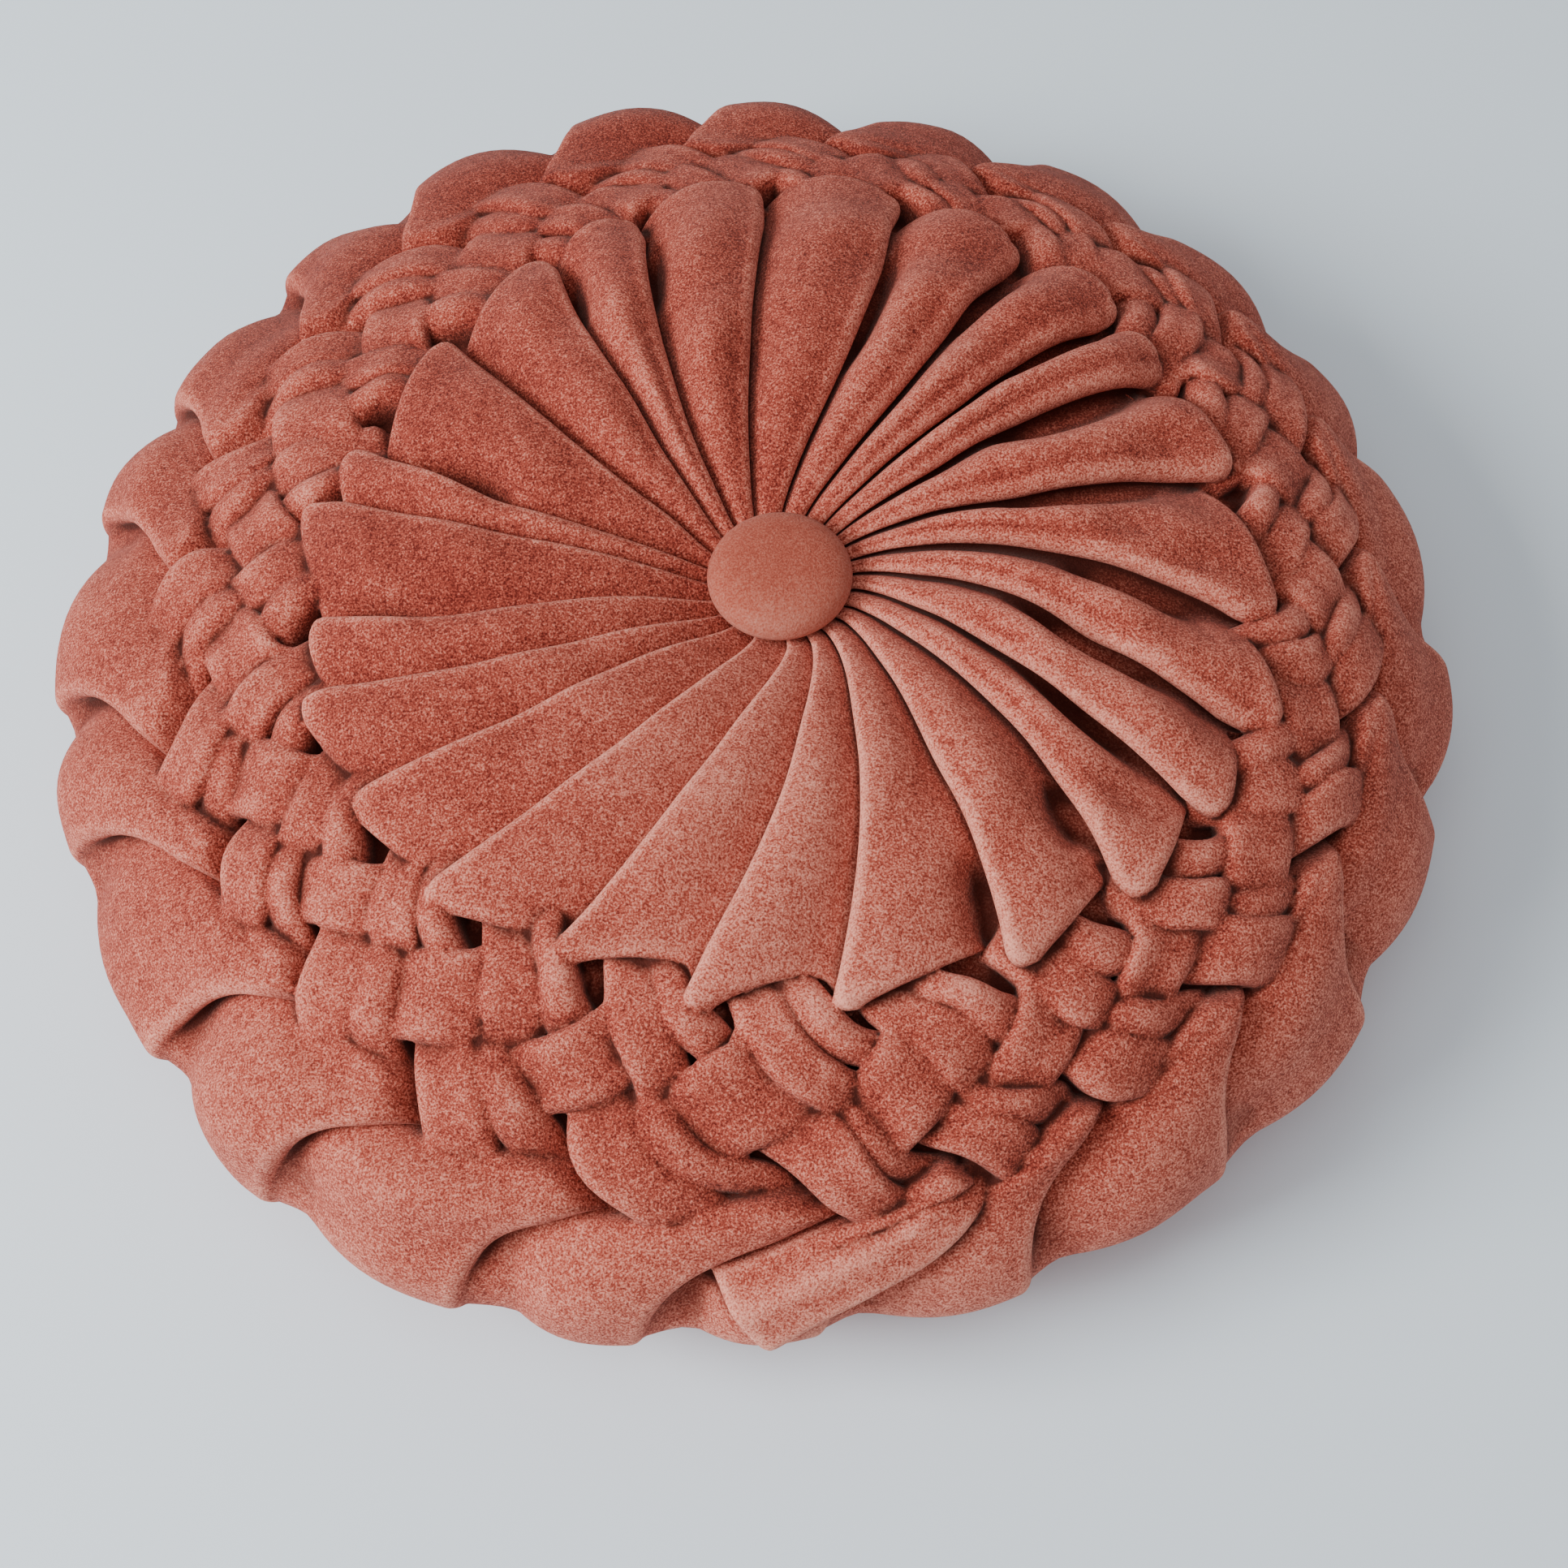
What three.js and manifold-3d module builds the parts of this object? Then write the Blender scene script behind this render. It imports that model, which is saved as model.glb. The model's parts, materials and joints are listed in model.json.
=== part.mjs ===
// Pleated round cushion with a covered button, lying on its back.
// Units are millimetres, +Z is up and out of the pleated face.
// One cloth cover holds the filling: radial knife pleats run from the button
// over the crown, a ring of woven smocking lies on the shoulder, and broad
// rim pleats sweep down the side and under to the flat back.

import * as THREE from 'three';
import Module from 'manifold-3d';
import { mergeVertices } from 'three/addons/utils/BufferGeometryUtils.js';

// Driving dimensions
const PLEAT_COUNT = 23;
const RIM_RADIUS = 205;
const SEAT_HEIGHT = 88;
const SEAT_DIP = 3;
const BUTTON_RADIUS = 20;
const BUTTON_BASE_RADIUS = 18;
const BUTTON_LIFT = 2.25;
const BUTTON_EDGE = 3.2;
const BUTTON_RISE = 8.4;
const BUTTON_SIDES = 40;
const BUTTON_STEPS = 7;

// The face lies a little off the middle of the cushion, and the section
// slides back to the middle between these two reaches
const FACE_SHIFT = { x: 10.4, y: -5.5 };
const SHIFT_FROM_REACH = 137;
const SHIFT_TO_REACH = 221;

// The cushion's section from the middle of the face to the middle of the back
const PROFILE = [
  { radius: 0, height: SEAT_HEIGHT },
  { radius: 12, height: SEAT_HEIGHT },
  { radius: 22, height: 91.5 },
  { radius: 35, height: 97 },
  { radius: 50, height: 101 },
  { radius: 75, height: 104 },
  { radius: 100, height: 102.5 },
  { radius: 120, height: 98.5 },
  { radius: 134, height: 93.5 },
  { radius: 150, height: 87 },
  { radius: 166, height: 80 },
  { radius: 180, height: 71.5 },
  { radius: 193, height: 61 },
  { radius: 202, height: 50 },
  { radius: RIM_RADIUS, height: 39 },
  { radius: 199, height: 26 },
  { radius: 187, height: 13.5 },
  { radius: 173, height: 5 },
  { radius: 155, height: 0 },
];
const BACK_RADIUS = 140;

// Reaches, along the section from the middle of the face, where a pleat's
// fold is given below
const FOLD_REACHES = [25, 50, 75, 100, 125];

// One row for each pleat, clockwise from the near side as seen from above.
// The five angles place its fold along FOLD_REACHES, in degrees from +X.
// tip and heel are the reaches of its end at the fold and at the crease.
const PLEATS = [
  { folds: [-55, -68, -74.5, -80, -84.5], tip: 133, heel: 131 },
  { folds: [-71, -84.5, -91.5, -97.7, -102], tip: 134, heel: 124 },
  { folds: [-90, -104.5, -111, -115, -119], tip: 131, heel: 122 },
  { folds: [-117.5, -125, -129.3, -132.5, -135.7], tip: 137, heel: 128 },
  { folds: [-139.5, -145.3, -146.7, -148.7, -151.2], tip: 137, heel: 133 },
  { folds: [-153, -157, -159, -162, -165.5], tip: 139, heel: 132 },
  { folds: [-168, -170.8, -171, -172.6, -175.5], tip: 134, heel: 131 },
  { folds: [-184, -187, -189, -191, -193], tip: 142, heel: 131 },
  { folds: [-196, -195, -196, -198.5, -201.5], tip: 138, heel: 132 },
  { folds: [-211, -214, -217, -219.5, -221.7], tip: 133, heel: 124 },
  { folds: [-226, -231, -235, -236.7, -239.5], tip: 140, heel: 124 },
  { folds: [-238, -242, -246, -249.3, -252.3], tip: 144, heel: 124 },
  { folds: [-254, -261, -265, -267.3, -269], tip: 149, heel: 132 },
  { folds: [-274, -283.3, -287.2, -288, -287], tip: 150, heel: 136 },
  { folds: [-290, -299.5, -303, -303.2, -304], tip: 139, heel: 120 },
  { folds: [-305, -312.5, -316, -316.8, -319], tip: 140, heel: 124 },
  { folds: [-317, -324.5, -326.5, -328.5, -330], tip: 136, heel: 130 },
  { folds: [-329, -338.5, -344, -345.3, -347], tip: 137, heel: 131 },
  { folds: [-341, -352, -358.3, -363.5, -367.5], tip: 141, heel: 130 },
  { folds: [-354, -366, -373.3, -379, -382], tip: 146, heel: 132 },
  { folds: [-369, -382, -388.5, -392, -394.3], tip: 142, heel: 136 },
  { folds: [-384, -395, -400, -404, -408], tip: 139, heel: 135 },
  { folds: [-399, -411.5, -418, -420.5, -424], tip: 136, heel: 130 },
];

// How a pleat's height and undercut grow away from the button
const PLEAT_SECTION = [
  { reach: 18, depth: 3.0, fold: 1.0, undercut: 0.4 },
  { reach: 30, depth: 4.2, fold: 1.4, undercut: 0.8 },
  { reach: 60, depth: 6.5, fold: 2.3, undercut: 2.0 },
  { reach: 100, depth: 8.5, fold: 3.0, undercut: 3.0 },
  { reach: 150, depth: 8.5, fold: 3.0, undercut: 3.0 },
];

// A pleat's cross-section: across is a share of its width, roll a number of
// fold radii and under a number of undercuts, drop is a share of its depth
const PLEAT_COLUMNS = [
  { across: 0, roll: 0, under: -1, drop: 1.0, curl: 0 },
  { across: 0.16, roll: 0, under: 0, drop: 0.6, curl: 0 },
  { across: 0.6, roll: 0, under: 0, drop: 0.18, curl: 0 },
  { across: 1, roll: -1, under: 0, drop: 0, curl: 0 },
  { across: 1, roll: 0, under: 0, drop: 0, curl: -1 },
  { across: 1, roll: -0.6, under: 0, drop: 0, curl: -1.9 },
];
const COLUMNS = PLEAT_COLUMNS.length;
const MOST_FOLD_SHARE = 0.2;

// A pleat's end runs from heel to tip over this share of its width
const END_TURN_SHARE = 0.9;

// Rings over the pleats, then rings that round off each pleat's end
const PLEAT_RINGS = [18, 27, 42, 62, 85, 110];
const END_RINGS = [
  { back: 6, sink: 0 },
  { back: 1, sink: 2 },
  { back: 0, sink: 8 },
];

// The woven smocking lies in a channel between the pleats and the rim, which
// is SMOCKING_FLOOR below the section. Its rings lie at these shares of it.
const SMOCKING_END = 192;
const SMOCKING_FLOOR = -11;
const SMOCKING_RINGS = [0.76, 1];

// Three rows of crossing bands fill the channel. A band is a soft
// parallelogram with its middle at angle and reach, in degrees and mm. It
// reaches as far as along to both its ends, and as far as across to its sides.
const BAND_ROWS = [
  { angle: -88.5, reach: 143, along: [5.3, 17.5], across: [-3.8, 6], height: 9.5 },
  { angle: -96.9, reach: 157, along: [-6, 14], across: [-3.3, -6.4], height: 10.5 },
  { angle: -87.3, reach: 172, along: [5.3, 14.5], across: [-3.7, 6], height: 11 },
];
const BAND_DEPTH = 6;

// A band arches along its length, so that both its ends dive under the bands
// beside it, and a crease runs down the middle of it
const BAND_ARCH = [
  { along: -1, height: 0.1 },
  { along: -0.42, height: 0.98 },
  { along: 0.42, height: 0.98 },
  { along: 1, height: 0.1 },
];
const BAND_SECTION = [
  { across: -1, height: 0.2 },
  { across: -0.6, height: 1 },
  { across: 0, height: 0.76 },
  { across: 0.6, height: 1 },
  { across: 1, height: 0.2 },
];

// The rim pleats: each crease leaves the smocking on a slant and then runs
// down over the side, with the next pleat's edge lying over it
const RIM_START_ANGLE = -95.5;
const RIM_START_REACH = 178;
const RIM_SLANT = 13;
const RIM_SLANT_LENGTH = 12;
const RIM_BLEND = 12;
const RIM_RINGS = [203, 216, 230, 246, 262];

// A rim pleat's height, the share of its width at which it is highest, and how
// full its two flanks are, from its start to the back
const RIM_SECTION = [
  { reach: 176, depth: 8, peak: 0.14, flank: 0.5, fall: 1 },
  { reach: 195, depth: 10, peak: 0.16, flank: 0.5, fall: 1 },
  { reach: 215, depth: 11, peak: 0.3, flank: 0.6, fall: 0.75 },
  { reach: 245, depth: 7, peak: 0.45, flank: 0.7, fall: 0.6 },
  { reach: 264, depth: 2, peak: 0.5, flank: 1, fall: 1 },
  { reach: 274, depth: 0, peak: 0.5, flank: 1, fall: 1 },
];
const RIM_COLUMNS = [0, 0.07, 0.22, 0.44, 0.68, 0.91];
const RIM_TURNS = 3;

const DEGREE = Math.PI / 180;
const PITCH = 360 / PLEAT_COUNT;
const QUARTER_TURN = Math.PI / 2;

// Points closer than this are one point
const WELD = 1e-3;

const clothMaterial = new THREE.MeshStandardMaterial({ color: 0xc36a57, roughness: 0.95, metalness: 0 });
const buttonMaterial = new THREE.MeshStandardMaterial({ color: 0xbd6351, roughness: 0.92, metalness: 0 });

const wasm = await Module();
wasm.setup();

function smoothStep(value) {
  return THREE.MathUtils.smoothstep(value, 0, 1);
}

// A smooth curve through a table's points, flat beyond its ends
function smoothThrough(xs, ys, x) {
  const last = xs.length - 1;
  if (x <= xs[0]) {
    return ys[0];
  }
  if (x >= xs[last]) {
    return ys[last];
  }
  let i = 0;
  while (x > xs[i + 1]) {
    i += 1;
  }
  const slope = (a, b) => (ys[b] - ys[a]) / (xs[b] - xs[a]);
  const tangent = (a) => slope(Math.max(0, a - 1), Math.min(last, a + 1));
  const span = xs[i + 1] - xs[i];
  const t = (x - xs[i]) / span;
  const t2 = t * t;
  const t3 = t2 * t;
  return (2 * t3 - 3 * t2 + 1) * ys[i]
    + (t3 - 2 * t2 + t) * span * tangent(i)
    + (3 * t2 - 2 * t3) * ys[i + 1]
    + (t3 - t2) * span * tangent(i + 1);
}

function columnOf(table, name) {
  return table.map((row) => row[name]);
}

// Reach of each profile point, measured along the section
const profileReaches = [0];
for (let i = 1; i < PROFILE.length; i += 1) {
  const step = Math.hypot(
    PROFILE[i].radius - PROFILE[i - 1].radius,
    PROFILE[i].height - PROFILE[i - 1].height,
  );
  profileReaches.push(profileReaches[i - 1] + step);
}
const profileRadii = columnOf(PROFILE, 'radius');
const profileHeights = columnOf(PROFILE, 'height');

function profilePoint(reach) {
  return {
    radius: smoothThrough(profileReaches, profileRadii, reach),
    height: smoothThrough(profileReaches, profileHeights, reach),
  };
}

// A point at a reach and an angle, lifted along the section's outward normal
// and moved sideways, clockwise, by an arc
function coverPoint(reach, angle, lift, sideways) {
  const here = profilePoint(reach);
  const before = profilePoint(reach - 1);
  const after = profilePoint(reach + 1);
  const run = after.radius - before.radius;
  const fall = after.height - before.height;
  const length = Math.hypot(run, fall);
  const radius = here.radius - lift * fall / length;
  const height = here.height + lift * run / length;
  const turn = angle * DEGREE - sideways / here.radius;
  const shift = 1 - smoothStep((reach - SHIFT_FROM_REACH) / (SHIFT_TO_REACH - SHIFT_FROM_REACH));
  return new THREE.Vector3(
    FACE_SHIFT.x * shift + radius * Math.cos(turn),
    FACE_SHIFT.y * shift + radius * Math.sin(turn),
    Math.max(0, height),
  );
}

function foldAngle(pleat, reach) {
  const turns = Math.floor(pleat / PLEAT_COUNT);
  const row = PLEATS[pleat - turns * PLEAT_COUNT];
  return smoothThrough(FOLD_REACHES, row.folds, reach) - 360 * turns;
}

function pleatSection(reach, name) {
  return smoothThrough(columnOf(PLEAT_SECTION, 'reach'), columnOf(PLEAT_SECTION, name), reach);
}

function endReach(pleat, across) {
  const row = PLEATS[pleat];
  return THREE.MathUtils.lerp(row.heel, row.tip, smoothStep(across / END_TURN_SHARE));
}

// One point of a pleat's folded section, sunk by the rounding of its end
function pleatPoint(pleat, column, reach, sink) {
  const place = PLEAT_COLUMNS[column];
  const creaseAngle = foldAngle(pleat - 1 + PLEAT_COUNT, reach) + 360;
  const ownAngle = foldAngle(pleat + PLEAT_COUNT, reach) + 360;
  const width = (creaseAngle - ownAngle) * DEGREE * profilePoint(reach).radius;
  const most = width * MOST_FOLD_SHARE;
  const fold = Math.min(pleatSection(reach, 'fold'), most);
  const undercut = Math.min(pleatSection(reach, 'undercut'), most);
  const depth = pleatSection(reach, 'depth');
  const sideways = place.across * width + place.roll * fold + place.under * undercut;
  const lift = place.curl * fold - place.drop * depth;
  return coverPoint(reach, creaseAngle, Math.max(SMOCKING_FLOOR, lift - sink), sideways);
}

function rimCrease(number, reach) {
  const past = Math.max(0, reach - RIM_START_REACH);
  const slant = RIM_SLANT * (1 - Math.exp(-past / RIM_SLANT_LENGTH));
  return RIM_START_ANGLE - number * PITCH - slant;
}

function rimSection(reach, name) {
  return smoothThrough(columnOf(RIM_SECTION, 'reach'), columnOf(RIM_SECTION, name), reach);
}

// Rim pleats rise quickly from a crease and fall slowly to the next one
function rimLift(angle, reach) {
  const share = (rimCrease(0, reach) - angle) / PITCH;
  const across = share - Math.floor(share);
  const peak = rimSection(reach, 'peak');
  const height = across < peak
    ? Math.sin(across / peak * QUARTER_TURN) ** rimSection(reach, 'flank')
    : Math.cos((across - peak) / (1 - peak) * QUARTER_TURN) ** rimSection(reach, 'fall');
  return rimSection(reach, 'depth') * (height - 1);
}

// Columns over the rim keep to the rim pleats and turn with their creases
function rimAngle(pleat, column, reach) {
  return rimCrease(0, reach) + (RIM_TURNS - pleat - RIM_COLUMNS[column]) * PITCH;
}

function pleatedRing(reachOf, sink) {
  const ring = [];
  for (let pleat = 0; pleat < PLEAT_COUNT; pleat += 1) {
    for (let column = 0; column < COLUMNS; column += 1) {
      const across = PLEAT_COLUMNS[column].across;
      ring.push(pleatPoint(pleat, column, reachOf(pleat, across), sink));
    }
  }
  return ring;
}

// The channel under the smocking, which rises to the rim pleats at its end
function channelRing(share) {
  const ring = [];
  for (let pleat = 0; pleat < PLEAT_COUNT; pleat += 1) {
    for (let column = 0; column < COLUMNS; column += 1) {
      const end = endReach(pleat, PLEAT_COLUMNS[column].across);
      const reach = THREE.MathUtils.lerp(end, SMOCKING_END, share);
      const tip = foldAngle(pleat - 1 + PLEAT_COUNT, end) + 360;
      const next = foldAngle(pleat + PLEAT_COUNT, end) + 360;
      const pleated = THREE.MathUtils.lerp(tip, next, column / COLUMNS);
      const angle = THREE.MathUtils.lerp(pleated, rimAngle(pleat, column, reach), smoothStep(share));
      const toRim = smoothStep((reach - RIM_START_REACH) / RIM_BLEND);
      const lift = THREE.MathUtils.lerp(SMOCKING_FLOOR, rimLift(angle, reach), toRim);
      ring.push(coverPoint(reach, angle, lift, 0));
    }
  }
  return ring;
}

function rimRing(reach) {
  const ring = [];
  for (let pleat = 0; pleat < PLEAT_COUNT; pleat += 1) {
    for (let column = 0; column < COLUMNS; column += 1) {
      const angle = rimAngle(pleat, column, reach);
      ring.push(coverPoint(reach, angle, rimLift(angle, reach), 0));
    }
  }
  return ring;
}

function backRing() {
  const ring = [];
  for (let pleat = 0; pleat < PLEAT_COUNT; pleat += 1) {
    for (let column = 0; column < COLUMNS; column += 1) {
      const turn = rimAngle(pleat, column, RIM_RINGS.at(-1)) * DEGREE;
      ring.push(new THREE.Vector3(BACK_RADIUS * Math.cos(turn), BACK_RADIUS * Math.sin(turn), 0));
    }
  }
  return ring;
}

// Skin the rings and close both poles. The rings run clockwise from above.
function skinRings(rings, firstPole, lastPole) {
  const count = rings[0].length;
  const points = [firstPole, ...rings.flat(), lastPole];
  const lastIndex = points.length - 1;
  const indices = [];
  for (let i = 0; i < count; i += 1) {
    const next = (i + 1) % count;
    indices.push(0, 1 + next, 1 + i);
    const base = 1 + (rings.length - 1) * count;
    indices.push(lastIndex, base + i, base + next);
    for (let ring = 0; ring < rings.length - 1; ring += 1) {
      const a = 1 + ring * count + i;
      const b = 1 + ring * count + next;
      indices.push(a, b, a + count);
      indices.push(b, b + count, a + count);
    }
  }
  return indexedGeometry(points, indices);
}

function bandPoint(row, number, along, across, lift) {
  const shape = BAND_ROWS[row];
  const angle = shape.angle - number * PITCH + along * shape.along[0] + across * shape.across[0];
  const reach = shape.reach + along * shape.along[1] + across * shape.across[1];
  return coverPoint(reach, angle, lift, 0);
}

// One smocked band as a closed block: its arched top, and a plain underside
// that lies inside the cover
function bandGeometry(row, number) {
  const points = [];
  for (const depth of [BAND_DEPTH, 0]) {
    for (const arch of BAND_ARCH) {
      for (const section of BAND_SECTION) {
        const rise = BAND_ROWS[row].height * arch.height * section.height;
        const lift = depth > 0 ? SMOCKING_FLOOR - depth : SMOCKING_FLOOR + rise;
        points.push(bandPoint(row, number, arch.along, section.across, lift));
      }
    }
  }
  const wide = BAND_SECTION.length;
  const layer = wide * BAND_ARCH.length;
  const indices = [];
  const quad = (a, b, c, d) => indices.push(a, b, c, a, c, d);
  for (let i = 0; i < BAND_ARCH.length - 1; i += 1) {
    for (let j = 0; j < wide - 1; j += 1) {
      const a = i * wide + j;
      quad(a, a + wide, a + wide + 1, a + 1);
      quad(layer + a, layer + a + 1, layer + a + wide + 1, layer + a + wide);
    }
  }
  for (let i = 0; i < BAND_ARCH.length - 1; i += 1) {
    const near = i * wide;
    const far = near + wide - 1;
    quad(near, layer + near, layer + near + wide, near + wide);
    quad(far, far + wide, layer + far + wide, layer + far);
  }
  for (let j = 0; j < wide - 1; j += 1) {
    const last = layer - wide + j;
    quad(j, j + 1, layer + j + 1, layer + j);
    quad(last, layer + last, layer + last + 1, last + 1);
  }
  return indexedGeometry(points, indices);
}

function indexedGeometry(points, indices) {
  const numbers = points.flatMap((point) => point.toArray());
  const geometry = new THREE.BufferGeometry();
  geometry.setAttribute('position', new THREE.Float32BufferAttribute(numbers, 3));
  geometry.setIndex(indices);
  return geometry;
}

function toSolid(geometry) {
  const merged = mergeVertices(geometry, WELD);
  return new wasm.Manifold(new wasm.Mesh({
    numProp: 3,
    vertProperties: new Float32Array(merged.attributes.position.array),
    triVerts: new Uint32Array(merged.index.array),
  }));
}

function fromSolid(solid) {
  const mesh = solid.getMesh();
  const geometry = new THREE.BufferGeometry();
  geometry.setAttribute('position', new THREE.BufferAttribute(mesh.vertProperties, 3));
  geometry.setIndex(new THREE.BufferAttribute(mesh.triVerts, 1));
  return geometry;
}

// The outer shell of a solid, without the small air pockets between bands
function outerShell(solid) {
  const shells = toSolid(fromSolid(solid)).decompose();
  return shells.reduce((largest, shell) => (shell.volume() > largest.volume() ? shell : largest));
}

function makeCover() {
  const rings = PLEAT_RINGS.map((reach) => pleatedRing(() => reach, 0));
  for (const end of END_RINGS) {
    rings.push(pleatedRing((pleat, across) => endReach(pleat, across) - end.back, end.sink));
  }
  rings.push(...SMOCKING_RINGS.map(channelRing));
  rings.push(...RIM_RINGS.map(rimRing));
  rings.push(backRing());
  const seat = new THREE.Vector3(FACE_SHIFT.x, FACE_SHIFT.y, SEAT_HEIGHT - SEAT_DIP);
  const back = new THREE.Vector3(0, 0, 0);
  let solid = toSolid(skinRings(rings, seat, back));
  for (let row = 0; row < BAND_ROWS.length; row += 1) {
    for (let number = 0; number < PLEAT_COUNT; number += 1) {
      solid = solid.add(toSolid(bandGeometry(row, number)));
    }
  }
  const geometry = fromSolid(outerShell(solid));
  geometry.computeVertexNormals();
  const cover = new THREE.Mesh(geometry, clothMaterial);
  cover.name = 'cover';
  return cover;
}

// The button: a domed mould covered in the same cloth
function makeButton() {
  const outline = [new THREE.Vector2(0, 0), new THREE.Vector2(BUTTON_BASE_RADIUS, 0)];
  for (let i = 0; i < BUTTON_STEPS; i += 1) {
    const turn = i / BUTTON_STEPS * QUARTER_TURN;
    const radius = BUTTON_RADIUS * Math.cos(turn);
    outline.push(new THREE.Vector2(radius, BUTTON_EDGE + BUTTON_RISE * Math.sin(turn)));
  }
  outline.push(new THREE.Vector2(0, BUTTON_EDGE + BUTTON_RISE));
  const dome = new THREE.LatheGeometry(outline, BUTTON_SIDES);
  dome.rotateX(QUARTER_TURN);
  const button = new THREE.Mesh(dome, buttonMaterial);
  button.name = 'button';
  button.position.set(FACE_SHIFT.x, FACE_SHIFT.y, SEAT_HEIGHT + BUTTON_LIFT);
  return button;
}

// The group is moved so that its box stands centred on the origin
const cushion = new THREE.Group();
cushion.add(makeCover(), makeButton());
const middle = new THREE.Box3().setFromObject(cushion).getCenter(new THREE.Vector3());
cushion.position.set(-middle.x, -middle.y, 0);

export default cushion;
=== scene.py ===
import json
import math

import bmesh
import bpy
import numpy as np
from mathutils import Matrix, Vector

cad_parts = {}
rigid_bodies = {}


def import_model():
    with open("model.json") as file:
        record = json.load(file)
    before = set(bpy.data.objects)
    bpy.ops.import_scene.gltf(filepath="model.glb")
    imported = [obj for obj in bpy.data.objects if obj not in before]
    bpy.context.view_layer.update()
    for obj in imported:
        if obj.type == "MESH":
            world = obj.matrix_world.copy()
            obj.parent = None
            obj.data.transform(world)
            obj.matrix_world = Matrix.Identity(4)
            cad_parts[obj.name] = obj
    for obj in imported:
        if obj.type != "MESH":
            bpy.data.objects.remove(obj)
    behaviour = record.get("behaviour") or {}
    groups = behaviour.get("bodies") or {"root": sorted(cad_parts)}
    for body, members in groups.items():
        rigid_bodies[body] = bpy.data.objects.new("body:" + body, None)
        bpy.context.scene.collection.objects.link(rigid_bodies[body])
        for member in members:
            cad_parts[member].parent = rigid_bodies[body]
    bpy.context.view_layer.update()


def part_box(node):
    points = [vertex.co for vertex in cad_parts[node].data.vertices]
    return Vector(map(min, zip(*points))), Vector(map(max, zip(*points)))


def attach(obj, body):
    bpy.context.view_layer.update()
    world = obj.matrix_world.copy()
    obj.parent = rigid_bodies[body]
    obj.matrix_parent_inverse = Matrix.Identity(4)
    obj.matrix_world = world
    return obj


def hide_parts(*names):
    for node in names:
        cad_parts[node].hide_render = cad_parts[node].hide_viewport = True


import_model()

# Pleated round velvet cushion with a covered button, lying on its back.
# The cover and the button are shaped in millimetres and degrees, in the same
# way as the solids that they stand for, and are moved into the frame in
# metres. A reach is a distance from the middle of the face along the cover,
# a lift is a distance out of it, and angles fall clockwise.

MM = 0.001

# The cushion's section from the middle of the face to the middle of the back
PROFILE_RADII = [0, 12, 22, 35, 50, 75, 100, 120, 134, 150, 166, 180, 193, 202, 205, 199, 187, 173, 155]
PROFILE_HEIGHTS = [88, 88, 91.5, 97, 101, 104, 102.5, 98.5, 93.5, 87, 80, 71.5, 61, 50, 39, 26, 13.5, 5, 0]
PROFILE_STEPS = np.hypot(np.diff(PROFILE_RADII), np.diff(PROFILE_HEIGHTS))
PROFILE_REACHES = np.concatenate([[0], np.cumsum(PROFILE_STEPS)])
# The face lies off the middle of the rim, by less and less between two reaches
FACE_SHIFT = (10.4, -5.5)
SHIFT_REACHES = (137, 221)
# Arcs nearer to the middle than this are measured at this radius
LEAST_RADIUS = 10

# Columns across one pleat: from the crease over the face of the pleat, round
# the fold and back under it
FACE_COLUMNS = 17
FOLD_COLUMNS = 9
UNDER_COLUMNS = 3
COLUMNS = FACE_COLUMNS + FOLD_COLUMNS + UNDER_COLUMNS

# Slow waves that make a surface uneven: how many are added up, how often one
# goes round and how long it is outwards, in mm. Each use has its own seed and
# size.
WAVE_COUNT = 7
WAVE_TURNS = (3, 17)
WAVE_LENGTHS = (25, 70)
FACE_WAVES = {"seed": 5, "size": 0.7}
RIM_WAVES = {"seed": 6, "size": 1.2}
BAND_ANGLE_WAVES = {"seed": 7, "size": 0.5}
BAND_REACH_WAVES = {"seed": 8, "size": 1.3}
FACE_WAVE_REACHES = (30, 80)
RIM_WAVE_REACHES = (185, 200)

# The smocking lies in a channel at this lift, from the pleats to the rim
CHANNEL_LIFT = -12
CHANNEL_REACHES = (130, 165)
CHANNEL_RINGS = 8

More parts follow.
